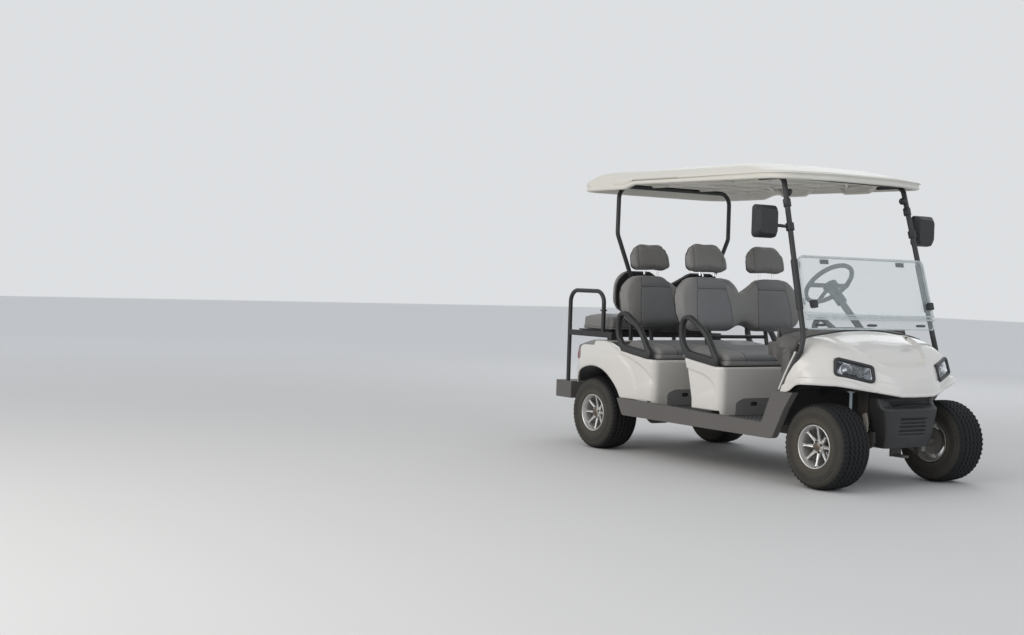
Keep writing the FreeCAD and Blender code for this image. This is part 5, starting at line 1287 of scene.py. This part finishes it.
def headlamp(side, label):
    """A rounded black bezel, a bright faceted bowl with two round reflectors, and a bowed lens."""
    rings = [(lamp_ring(inset, max(23 - inset, 6)), lift) for inset, lift in BEZEL_ROWS]
    bezel = dished("bezel", rings, side)
    rings = [(lamp_ring(inset, max(22 - inset * 0.6, 3)), lift) for inset, lift in BOWL_ROWS]
    innermost = lamp_ring(56, 3)
    rings.append((np.tile(innermost.mean(0), (RING_POINTS, 1)), -41))
    bowl = dished("headlamp_bowl_" + label, rings, side)
    add_modifier(bowl, "SOLIDIFY", thickness=0.002, offset=-1.0)
    fit(bowl, "lamp_bowl", "chassis", "chrome_post")
    circle = np.stack([np.cos(turns(56)), np.sin(turns(56))], 1)
    eyes = [dished("eye", [(np.array(place) + circle * size * share, lift) for share, lift in EYE_ROWS], side)
            for place, size in EYES]
    fit(joined("headlamp_reflectors_" + label, eyes), "lamp_bowl", "chassis", "chrome_post")
    lens = [(lamp_ring(12 + 60 * share, max(22 - 40 * share, 2)), 7 + 6 * math.sin(share * math.pi / 2))
            for share in np.linspace(0, 1, 9)]
    lens.append((np.tile(lens[-1][0].mean(0), (RING_POINTS, 1)), 13.2))
    fit(dished("headlamp_glass_" + label, lens, side), "lamp_lens", "chassis", "lamp_lens", "headlamp_lenses")
    return bezel


def lamp_bowl():
    """Bright vapour-plated plastic with a few upright flutes, and soft dark patches painted in as painted
    reflections.
    """
    finish = Finish("lamp_bowl_chrome")
    flutes = finish.maths("SINE", finish.axes()[1] * 170.0)
    painted_reflection_patches = finish.ranged(finish.noise(9.0, 1.0, 0.4), 0.38, 0.56)
    # Painted reflections: dark patches mixed into the bright plating colour
    colour = finish.mixed(painted_reflection_patches, (0.10, 0.11, 0.13), (0.93, 0.95, 0.98))
    return finish.principled(Base_Color=colour, Metallic=0.9, Roughness=painted_reflection_patches * 0.1 + 0.08,
                             Normal=finish.bumped(flutes, 0.0006))


finishes["lamp_bowl"] = lamp_bowl()
bezels = joined("headlamp_bezels", [headlamp(1, "right"), headlamp(-1, "left")])
fit(bezels, "black_plastic", "chassis", "black_plastic", "headlamp_housings")

# Armrests

def oval_section(across, along, count=20, power=0.75):
    """A section between an oval and, as the power falls, its box."""
    cosine, sine = np.cos(turns(count)), np.sin(turns(count))
    return np.stack([across * np.sign(cosine) * np.abs(cosine) ** power,
                     along * np.sign(sine) * np.abs(sine) ** power], 1)


ARMREST_Y = 541.0
# Behind the seat's front edge, height, radius of the corner
ARMREST_CORNERS = ((44, 592, 26), (330, 630, 60), (392, 740, 160), (384, 884, 60), (300, 888, 70),
                   (150, 800, 220), (36, 640, 24))


def armrest(front_x, side):
    """A loop with a rounded section, thick along its foot and slender over its top."""
    corners = [((front_x - back, z), radius) for back, z, radius in ARMREST_CORNERS]
    outline = closed_evenly(rounded(corners, 10), 180)
    run = unit(np.roll(outline, -1, axis=0) - np.roll(outline, 1, axis=0))
    inward = np.stack([run[:, 1], -run[:, 0]], 1)
    inward *= np.sign(((outline.mean(0) - outline) * inward).sum(1).mean())
    foot = 1 - smooth_step(outline[:, 1], 632, 700)
    half = np.convolve(np.pad(foot, 10, "wrap"), weights(21), "valid") * 10 + 15
    centre = outline + inward * half[:, None]
    for _ in range(30):
        centre = centre * 0.5 + 0.25 * (np.roll(centre, 1, axis=0) + np.roll(centre, -1, axis=0))
    path = np.insert(centre, 1, side * ARMREST_Y, axis=1)
    sections = oval_section(1.0, 20.0) * np.stack([half, np.ones(len(half))], 1)[:, None]
    return closed_sweep("loop", path, sections, True, (0, 1, 0))


loops = [armrest(front_x, side) for front_x in (FRONT_BASE_X, REAR_BASE_X) for side in (-1, 1)]
fit(joined("armrest_loops", loops), "armrest_black", "chassis", "black_plastic", "armrests")

# Valance

# Height, x of the sides, half width, x of the middle
VALANCE_ROWS = np.array([(222, 128, 176, 158), (300, 140, 186, 182), (372, 138, 196, 192),
                         (428, 122, 208, 198), (452, 100, 212, 176), (490, 84, 212, 156)], float)
VALANCE_WALL = 0.004
LOUVRES, LOUVRE_PITCH, LOUVRE_HALF, LOWEST_LOUVRE = 5, 21, 97, 295


def valance():
    """Level curves from one flank over a bowed front to the other, joined upwards, with five rounded louvres,
    a hollow under the cowl's lip, soft shoulders and a round boss above the towing eye."""
    height = np.linspace(222, 490, 82)
    level = curve_through(VALANCE_ROWS[:, 0], VALANCE_ROWS[:, 1:], height)
    share = np.linspace(-1, 1, 105)
    front = np.clip(np.abs(share) / 0.82, 0, 1)
    flank = np.clip((np.abs(share) - 0.82) / 0.18, 0, 1)
    bow = np.sqrt(np.clip(1 - (front * 0.985) ** 2.6, 0, 1))
    y = level[:, 1:2] * np.sign(share) * np.sin(front * math.pi / 2)[None] ** 0.9
    x = level[:, 0:1] + (level[:, 2:3] - level[:, 0:1]) * bow[None]
    x = x + (62 - x) * flank[None]
    points = np.stack(np.broadcast_arrays(x, y, height[:, None]), -1)
    for _ in range(2):
        points[:, 1:-1] = points[:, 1:-1] * 0.5 + 0.25 * (points[:, :-2] + points[:, 2:])
    normal = grid_normals(points)
    normal *= np.sign(normal[60, 75, 0])
    y, z = np.abs(points[..., 1]), points[..., 2]
    long_way = np.maximum(y - LOUVRE_HALF, 0)
    louvre = np.max([1 - smooth_step(np.hypot(long_way, z - LOWEST_LOUVRE - LOUVRE_PITCH * index), 3.2, 6.4)
                     for index in range(LOUVRES)], axis=0)
    hollow = (smooth_step(158 - y, 0, 14) * smooth_step(z, 458 - 0.0006 * y ** 2, 464)
              * smooth_step(z, 489, 484))
    boss = bell(np.hypot(y, z - 258) / 30, 0.8) * 3
    shoulder = 1.5 * bell(z - 430, 12)
    points = points + normal * (shoulder + boss - 13 * louvre - 12 * hollow)[..., None]
    shell("valance_shell", points, VALANCE_WALL, "black_plastic", "front_valance")


valance()

# Trim of the front

def dome(centre, axis, profile, count=28, squash=1.0, long_way=(0, 0, 1)):
    """A turned shape. Each row of its profile is a radius and a height along the axis. Squash flattens the
    rings, so that they become ovals."""
    axis = unit(np.asarray(axis, float))
    first = unit(np.cross(long_way, axis))
    second = np.cross(axis, first)
    turn = turns(count)[:, None]
    circle = np.cos(turn) * first + squash * np.sin(turn) * second
    centre = np.asarray(centre, float)
    points = np.stack([centre + circle * radius + axis * height for radius, height in profile])
    return facing_out(grid_object("turned", points, False, True))


edge_path = cowl_sheet[:, 0]
edge_path = edge_path[np.abs(edge_path[:, 1]) < 470] + (1.0, 0, 1.5)
fit(closed_sweep("hood_edge_rubber", edge_path, oval_section(6.5, 5.0, 14)), "black_plastic", "chassis",
    "black_plastic")


def hood_screws():
    """Domed screw heads on the hood and below the lamps."""
    profile = [(6.0, -2.0), (6.0, 1.0), (5.0, 2.4), (3.0, 3.0), (1.6, 3.0), (1.2, 1.8), (0.0, 1.8)]
    normal = grid_normals(cowl_sheet)
    normal = (normal * math.copysign(1, normal[..., 2].mean())).reshape(-1, 3)
    flat = cowl_sheet.reshape(-1, 3)
    picks = [np.hypot(flat[:, 0] + 150, flat[:, 1] - y).argmin() for y in (-300, 300)]
    picks += [np.linalg.norm(flat - (72, y, 556.0), axis=1).argmin() for y in (-330, 330)]
    found = [dome(flat[pick], normal[pick], profile, 20, 1.0, (0, 1, 0)) for pick in picks]
    fit(joined("cowl_screws", found), "black_plastic", "chassis", "black_plastic")


hood_screws()

# Strips beside the struts and the dash

STRIP_ENDS = (512, 722)


def beside_struts():
    """A slim bright strip down behind each strut."""
    made = []
    for side in (-1, 1):
        height = np.linspace(*STRIP_ENDS, 24)
        share = (height - STRIP_ENDS[0]) / (STRIP_ENDS[1] - STRIP_ENDS[0])
        behind = 24 + 5 * np.sin(share * math.pi)
        path = np.stack([strut_line(height) - behind, side * (572 - 31 * share), height], 1)
        made.append(closed_sweep("strip", path, oval_section(6.0, 9.0, 14), False, (0, 1, 0)))
    fit(joined("strut_strips", made), "body_paint", "chassis", "body_paint")


def cut_across(made, step):
    """Cuts a mesh by upright planes along the cart, so that it can bend across."""
    work = bmesh.new()
    work.from_mesh(made.data)
    for y in np.arange(-480, 481, step):
        bmesh.ops.bisect_plane(work, geom=work.verts[:] + work.edges[:] + work.faces[:],
                               plane_co=(0, y * MM, 0), plane_no=(0, 1, 0))
    work.to_mesh(made.data)
    work.free()
    made.data.shade_smooth()
    made.data.set_sharp_from_angle(angle=0.6)


def dash_cover():
    """The dash with its top crowned across the cart: what stands above 690 falls with the square of its
    distance from the middle."""
    made = facing_out(linked("dash_cover", nodes["dash_panel"].data.copy()))
    cut_across(made, 48)
    points = placed(made)
    drop = (46 * (np.abs(points[:, 1]) / 500) ** 2 + 8) * smooth_step(points[:, 2], 690, 840)
    points[:, 2] -= drop * (points[:, 0] > -340)
    put_points(made, metres(points))
    fit(made, "charcoal_plastic", "chassis", "charcoal_plastic", "dash_panel")


beside_struts()

# Roof

ROOF_HALF, ROOF_FRONT, ROOF_REAR = 594.0, -186.0, -2153.0


def filled_in(line, longest):
    """A closed line with every run longer than a length cut into equal parts."""
    found = []
    for start, end in zip(line, np.roll(line, -1, axis=0)):
        parts = max(1, int(round(np.linalg.norm(end - start) / longest)))
        found.append(start + (end - start) * (np.arange(parts) / parts)[:, None])
    return np.concatenate(found)


def roof_ring(side, front, rear, radius, cuts):
    """The roof's plan at one level: a bowed nose, two front corners set back, and square rear corners."""
    half = ROOF_HALF - side
    nose, tail = ROOF_FRONT - front, ROOF_REAR + rear
    back, flat = nose - 0.19 * half, 0.42 * half
    line = rounded([((back, half), radius), ((nose, flat), 300), ((nose, -flat), 300),
                    ((back, -half), radius), ((tail, -half), radius), ((tail, half), radius)], 12)
    runs = []
    for count, start, end in zip(cuts, line, np.roll(line, -1, axis=0)):
        runs.append(start + (end - start) * (np.arange(count) / count)[:, None])
    return np.concatenate(runs)


def rim_height(x):
    """The height of the rim's lower edge: lower at the rear, with a slanting step."""
    return np.interp(x, [-2200, -1663, -1640, -1580, -1557, 0], [1641, 1641, 1646, 1663, 1667.6, 1654.5])


def roof_shell():
    """Rings from the middle of the ceiling out to the rim, over a bead and a groove, and up a bowed top."""
    base = rounded([((-300, ROOF_HALF), 150), ((ROOF_FRONT, 250), 300), ((ROOF_FRONT, -250), 300),
                    ((-300, -ROOF_HALF), 150), ((ROOF_REAR, -ROOF_HALF), 150),
                    ((ROOF_REAR, ROOF_HALF), 150)], 12)
    steps = np.linalg.norm(np.roll(base, -1, axis=0) - base, axis=1)
    cuts = np.maximum(1, np.round(steps / 22)).astype(int)
    # Inset at the sides, the front and the rear, then a height, or one above the rim's lower edge
    low = [(66, 80, 76, 1692, 0), (46, 60, 54, 1691, 0), (34, 48, 42, None, 8), (28, 42, 36, None, 1),
           (22, 36, 30, None, 0), (7, 20, 13, None, 0), (2, 15, 8, None, 3), (0.5, 13.5, 6, None, 8),
           (0.5, 13, 5.5, None, 15), (2, 14, 7, None, 20), (6, 17, 10, None, 23), (6.5, 16, 10, None, 26),
           (4.5, 12, 7, None, 29), (2.5, 7, 4, None, 33)]
    # The same insets and a height, at distances over the top
    keys = np.array([0, 14, 34, 78, 150, 290, 430], float)
    high = np.array([(0.5, 2, 2, 1690), (4, 16, 9, 1701), (15, 70, 31, 1712.5), (52, 220, 80, 1742),
                     (118, 330, 150, 1762), (250, 460, 280, 1771), (400, 600, 440, 1771.8)], float)
    upper = curve_through(keys, high, np.concatenate([np.linspace(0, 34, 9), np.linspace(34, 430, 26)[1:]]))
    rings = []
    for side, front, rear, z, above in low:
        plan = roof_ring(side, front, rear, 150 - side * 0.8, cuts)
        height = np.full(len(plan), float(z)) if z else rim_height(plan[:, 0]) + above
        rings.append(np.column_stack([plan, height]))
    for side, front, rear, z in upper:
        plan = roof_ring(side, front, rear, 150 - min(side, 250) * 0.24, cuts)
        rings.append(np.column_stack([plan, np.full(len(plan), z)]))
    ceiling = [rings[0] * (1, share, 1) for share in (0.0, 0.25, 0.5, 0.75)]
    last = [rings[-1] * (1, share, 1) for share in (0.66, 0.33, 0.0)]
    points = np.stack(ceiling + rings + last)
    # Two shallow pockets in the sides near the rear, and a raised spine with two ridges on top
    pocket = (smooth_step(points[..., 0], -2010, -1995) * smooth_step(points[..., 0], -1770, -1790)
              * smooth_step(points[..., 2], 1666, 1674) * smooth_step(points[..., 2], 1730, 1714))
    points[..., 1] -= np.sign(points[..., 1]) * 9 * pocket
    ridge = bell(np.abs(points[..., 1]) - 300, 16) * 5 * (points[..., 2] > 1745)
    points[..., 2] = np.minimum(points[..., 2] + ridge - 4.5 * (points[..., 2] > 1760), 1772)
    made = facing_out(grid_object("roof_lid", points, False, True))
    fit(made, "roof_plastic", "chassis", "roof_plastic", "roof")


RIB_Z = 1687


def roof_ribs():
    """Ribs under the ceiling: four along, six across and four slanting ones, and two hanging handles."""
    lines = [((-330, side * 200, RIB_Z), (-2040, side * 200, RIB_Z)) for side in (-1, 1)]
    lines += [((-360, side * 420, RIB_Z), (-2040, side * 500, RIB_Z)) for side in (-1, 1)]
    lines += [((x, -515, RIB_Z - 0.5), (x, 515, RIB_Z - 0.5))
              for x in (-430, -760, -1080, -1400, -1700, -1990)]
    lines += [((front, side * 60, RIB_Z - 1), (rear, side * 415, RIB_Z - 1))
              for front, rear in ((-430, -760), (-1080, -1400)) for side in (-1, 1)]
    made = [closed_sweep("rib", np.linspace(start, end, 12), oval_section(8.0, 8.5, 12, 0.6))
            for start, end in lines]
    for middle in (-700, -1230):
        share = np.linspace(0, 1, 40)
        drop = 42 * smooth_step(np.minimum(share, 1 - share), 0.0, 0.24)
        path = np.stack([middle + 165 - 330 * share, np.full(40, 440.0), 1690 - drop], 1)
        made.append(closed_sweep("handle", path, oval_section(9.0, 15.0, 16), False, (0, 1, 0)))
    fit(joined("roof_ribs", made), "roof_plastic", "chassis", "roof_plastic")


roof_shell()
roof_ribs()

# Windscreen edges

def screen_edges():
    """Thick polished edges round both panes, the hinge bars along the fold, and black slots below it."""
    foot, top = np.array([-139.0, 807.0]), np.array([-372.0, 1662.0])
    run = unit(top - foot)
    ahead = np.array([run[1], -run[0]])

    def on_screen(y, z, lift):
        y, z = np.broadcast_arrays(np.asarray(y, float), np.asarray(z, float))
        share = (z - foot[1]) / run[1]
        x = foot[0] + run[0] * share + ahead[0] * lift
        return np.stack([x, y, z + ahead[1] * lift], -1)

    def half_width(z):
        return np.interp(z, [807, 1662], [512, 474]) - 6

    def outline(low, high, lift, radius):
        corners = [((side * half_width(z), z), radius)
                   for side, z in ((-1, low), (-1, high), (1, high), (1, low))]
        line = filled_in(rounded(corners), 30)
        return on_screen(line[:, 0], line[:, 1], lift)
    edge = oval_section(3.2, 3.6, 10)
    made = [closed_sweep("edge", outline(842, 1226, 23, 22), edge, True, (0, 1, 0.01)),
            closed_sweep("edge", outline(902, 1230, 36.5, 30), edge, True, (0, 1, 0.01))]
    for z, lift, thick in ((893, 33, 5.5), (912, 40, 4.0)):
        y = np.linspace(-half_width(z) - 2, half_width(z) + 2, 40)
        made.append(closed_sweep("bar", on_screen(y, z, lift), oval_section(thick, thick, 12)))
    fit(joined("windscreen_edges", made), "pane_edge", "chassis", "clear_pane")
    slots = []
    cosine, sine = np.cos(turns(32)), np.sin(turns(32))
    wide, tall = 38 * np.sign(cosine) * np.abs(cosine) ** 0.5, 6.5 * np.sign(sine) * np.abs(sine) ** 0.8
    for middle in (-395, 0, 395):
        points = np.stack([on_screen(middle + wide * share, 862 + tall * share, lift) for share, lift in (
            (1.0, 22), (1.0, 27), (0.86, 28), (0.8, 25.5), (0.0, 25.5))])
        slots.append(facing_out(grid_object("slot", points, False, True)))
    fit(joined("windscreen_slots", slots), "black_plastic", "chassis", "black_plastic")


def pane_edge():
    """Polished sheet edges: pale and bright, a little see-through."""
    finish = Finish("pane_edge_clear")
    smear = finish.noise(26.0, 3.0)
    return finish.principled(Base_Color=finish.mixed(smear, (0.62, 0.68, 0.68), (0.86, 0.90, 0.90)),
                             Alpha=smear * 0.3 + 0.45, Roughness=smear * 0.1 + 0.08, Specular_IOR_Level=0.9,
                             Normal=finish.bumped(smear, 0.0001))


finishes["pane_edge"] = pane_edge()
screen_edges()
dash_cover()


# Floor plate

def diamond_mat():
    """Dark rubber with a relief of lozenges set at right angles to each other, paler on their tops from wear.
    """
    finish = Finish("diamond_mat_rubber")
    x, y, z = finish.axes()
    first = finish.maths("SINE", (x + y) * 96.0)
    second = finish.maths("SINE", (x - y) * 96.0)
    lozenge = finish.ranged(abs(first * second), 0.35, 0.6) * (z < 0.325)
    dust = finish.noise(8.0, 4.0)
    low = finish.mixed(dust, (0.030, 0.031, 0.033), (0.060, 0.060, 0.060))
    colour = finish.mixed(lozenge * 0.6, low, (0.16, 0.165, 0.175))
    return finish.principled(Base_Color=colour, Roughness=0.62 - lozenge * 0.12,
                             Normal=finish.bumped(lozenge, 0.0015))


finishes["diamond_mat"] = diamond_mat()

# Small parts

def small_parts():
    """Dark cups behind the slots of the seat bases, a cross bar with knobs under the roof's front, the
    wheels' valves and nuts, and the pale brackets beside the valance."""
    cup = [(0.0, 0.6), (20, 0.6), (24, 1.2), (25.5, 3.4), (28.5, 4.6), (30, 3.8), (30, 0.4)]
    cups = [dome((x, y, 384), (1, 0, 0), cup, 36, 0.45)
            for x in (FRONT_BASE_X, REAR_BASE_X) for y in (-300, 300)]
    fit(joined("slot_cups", cups), "black_plastic", "chassis", "black_plastic")
    y = np.linspace(-468, 468, 40)
    bar = np.stack([-392 + 8 * np.cos(y / 468 * math.pi / 2), y, np.full(40, 1676.0)], 1)
    parts = [closed_sweep("bar", bar, oval_section(9.0, 9.0, 14))]
    knob = [(0, -16), (9, -16), (10, -9), (17, -7), (20, -2), (20, 5), (17, 11), (10, 14), (0, 15)]
    collar = [(0, -22), (20, -22), (21.5, -20), (21.5, 20), (20, 22), (0, 22)]
    parts += [dome((-352, side * 452, 1588), (0.35, -side, -0.3), knob) for side in (-1, 1)]
    parts += [dome((-337.15, side * 478, 1528), (0.26, 0, -0.96), collar) for side in (-1, 1)]
    fit(joined("roof_front_bar", parts), "black_tube", "chassis", "black_tube")
    valve = [(0, -10), (3.6, -10), (3.6, 4), (2.6, 5), (2.6, 9), (0, 9.6)]
    nut = [(0, -2), (6.5, -2), (6.5, 6), (4.8, 9), (0, 9.6)]
    for corner, x, half_track, side in WHEEL_CORNERS:
        turned = [dome((x + 74, side * (half_track + 86), AXLE_Z + 62), (0.1, side, 0.1), valve, 14)]
        turned += [dome((x + 29 * math.cos(angle), side * (half_track + 66), AXLE_Z + 29 * math.sin(angle)),
                        (0, side, 0), nut, 12) for angle in (0.4, 1.97, 3.54, 5.11)]
        fit(joined("wheel_hardware_" + corner, turned), "black_plastic", "wheel_" + corner, "black_plastic")
    plates = []
    for side in (-1, 1):
        z = np.linspace(262, 402, 30)
        x = 42 + 20 * np.sin((z - 262) / 140 * math.pi) + (z - 262) * 0.08
        path = np.stack([x, np.full(30, side * 232.0), z], 1)
        plates.append(closed_sweep("bracket", path, oval_section(15.0, 4.0, 16, 0.4), False, (0, 1, 0)))
    fit(joined("front_brackets", plates), "bracket_paint", "chassis", "cast_parts")


small_parts()

# Every carried-over node gets its finish

NODES_OF_FINISH = {
    "frame_steel": "ladder_frame tow_eye front_suspension rear_axle rear_springs",
    "diamond_mat": "floor_deck",
    "charcoal_plastic": "rocker_panels dash_panel footstep",
    "black_tube": "front_struts seat_tubes rear_hoop rear_seat_frame grab_rails",
    "body_paint": "front_cowl rear_body front_seat_base",
    "black_plastic": "headlamp_housings front_valance battery_pack armrests windscreen_clips mirror_housings "
                     "rear_deck steering_column steering_wheel pedals wheel_liners",
    "lamp_lens": "headlamp_lenses",
    "grey_plastic": "seat_base_inserts tail_trims",
    "tail_lens": "tail_lamps",
    "seat_shell": "backrest_shells",
    "chrome_post": "headrest_posts",
    "roof_plastic": "roof",
    "clear_pane": "windscreen_fixed windscreen_folded",
    "mirror_glass": "mirror_glasses",
    "shock_coat": "shocks",
    "cast_parts": "knuckle_left knuckle_right steering_rack",
    "bright_steel": "tie_rod"}
finish_of = {name: finish for finish, names in NODES_OF_FINISH.items() for name in names.split()}
for name, node in nodes.items():
    by_kind = {"rim": "alloy", "tyre": "tyre_rubber"}.get(name.split("_")[0], "seat_vinyl")
    node.data.materials.clear()
    node.data.materials.append(finishes[finish_of.get(name, by_kind)])
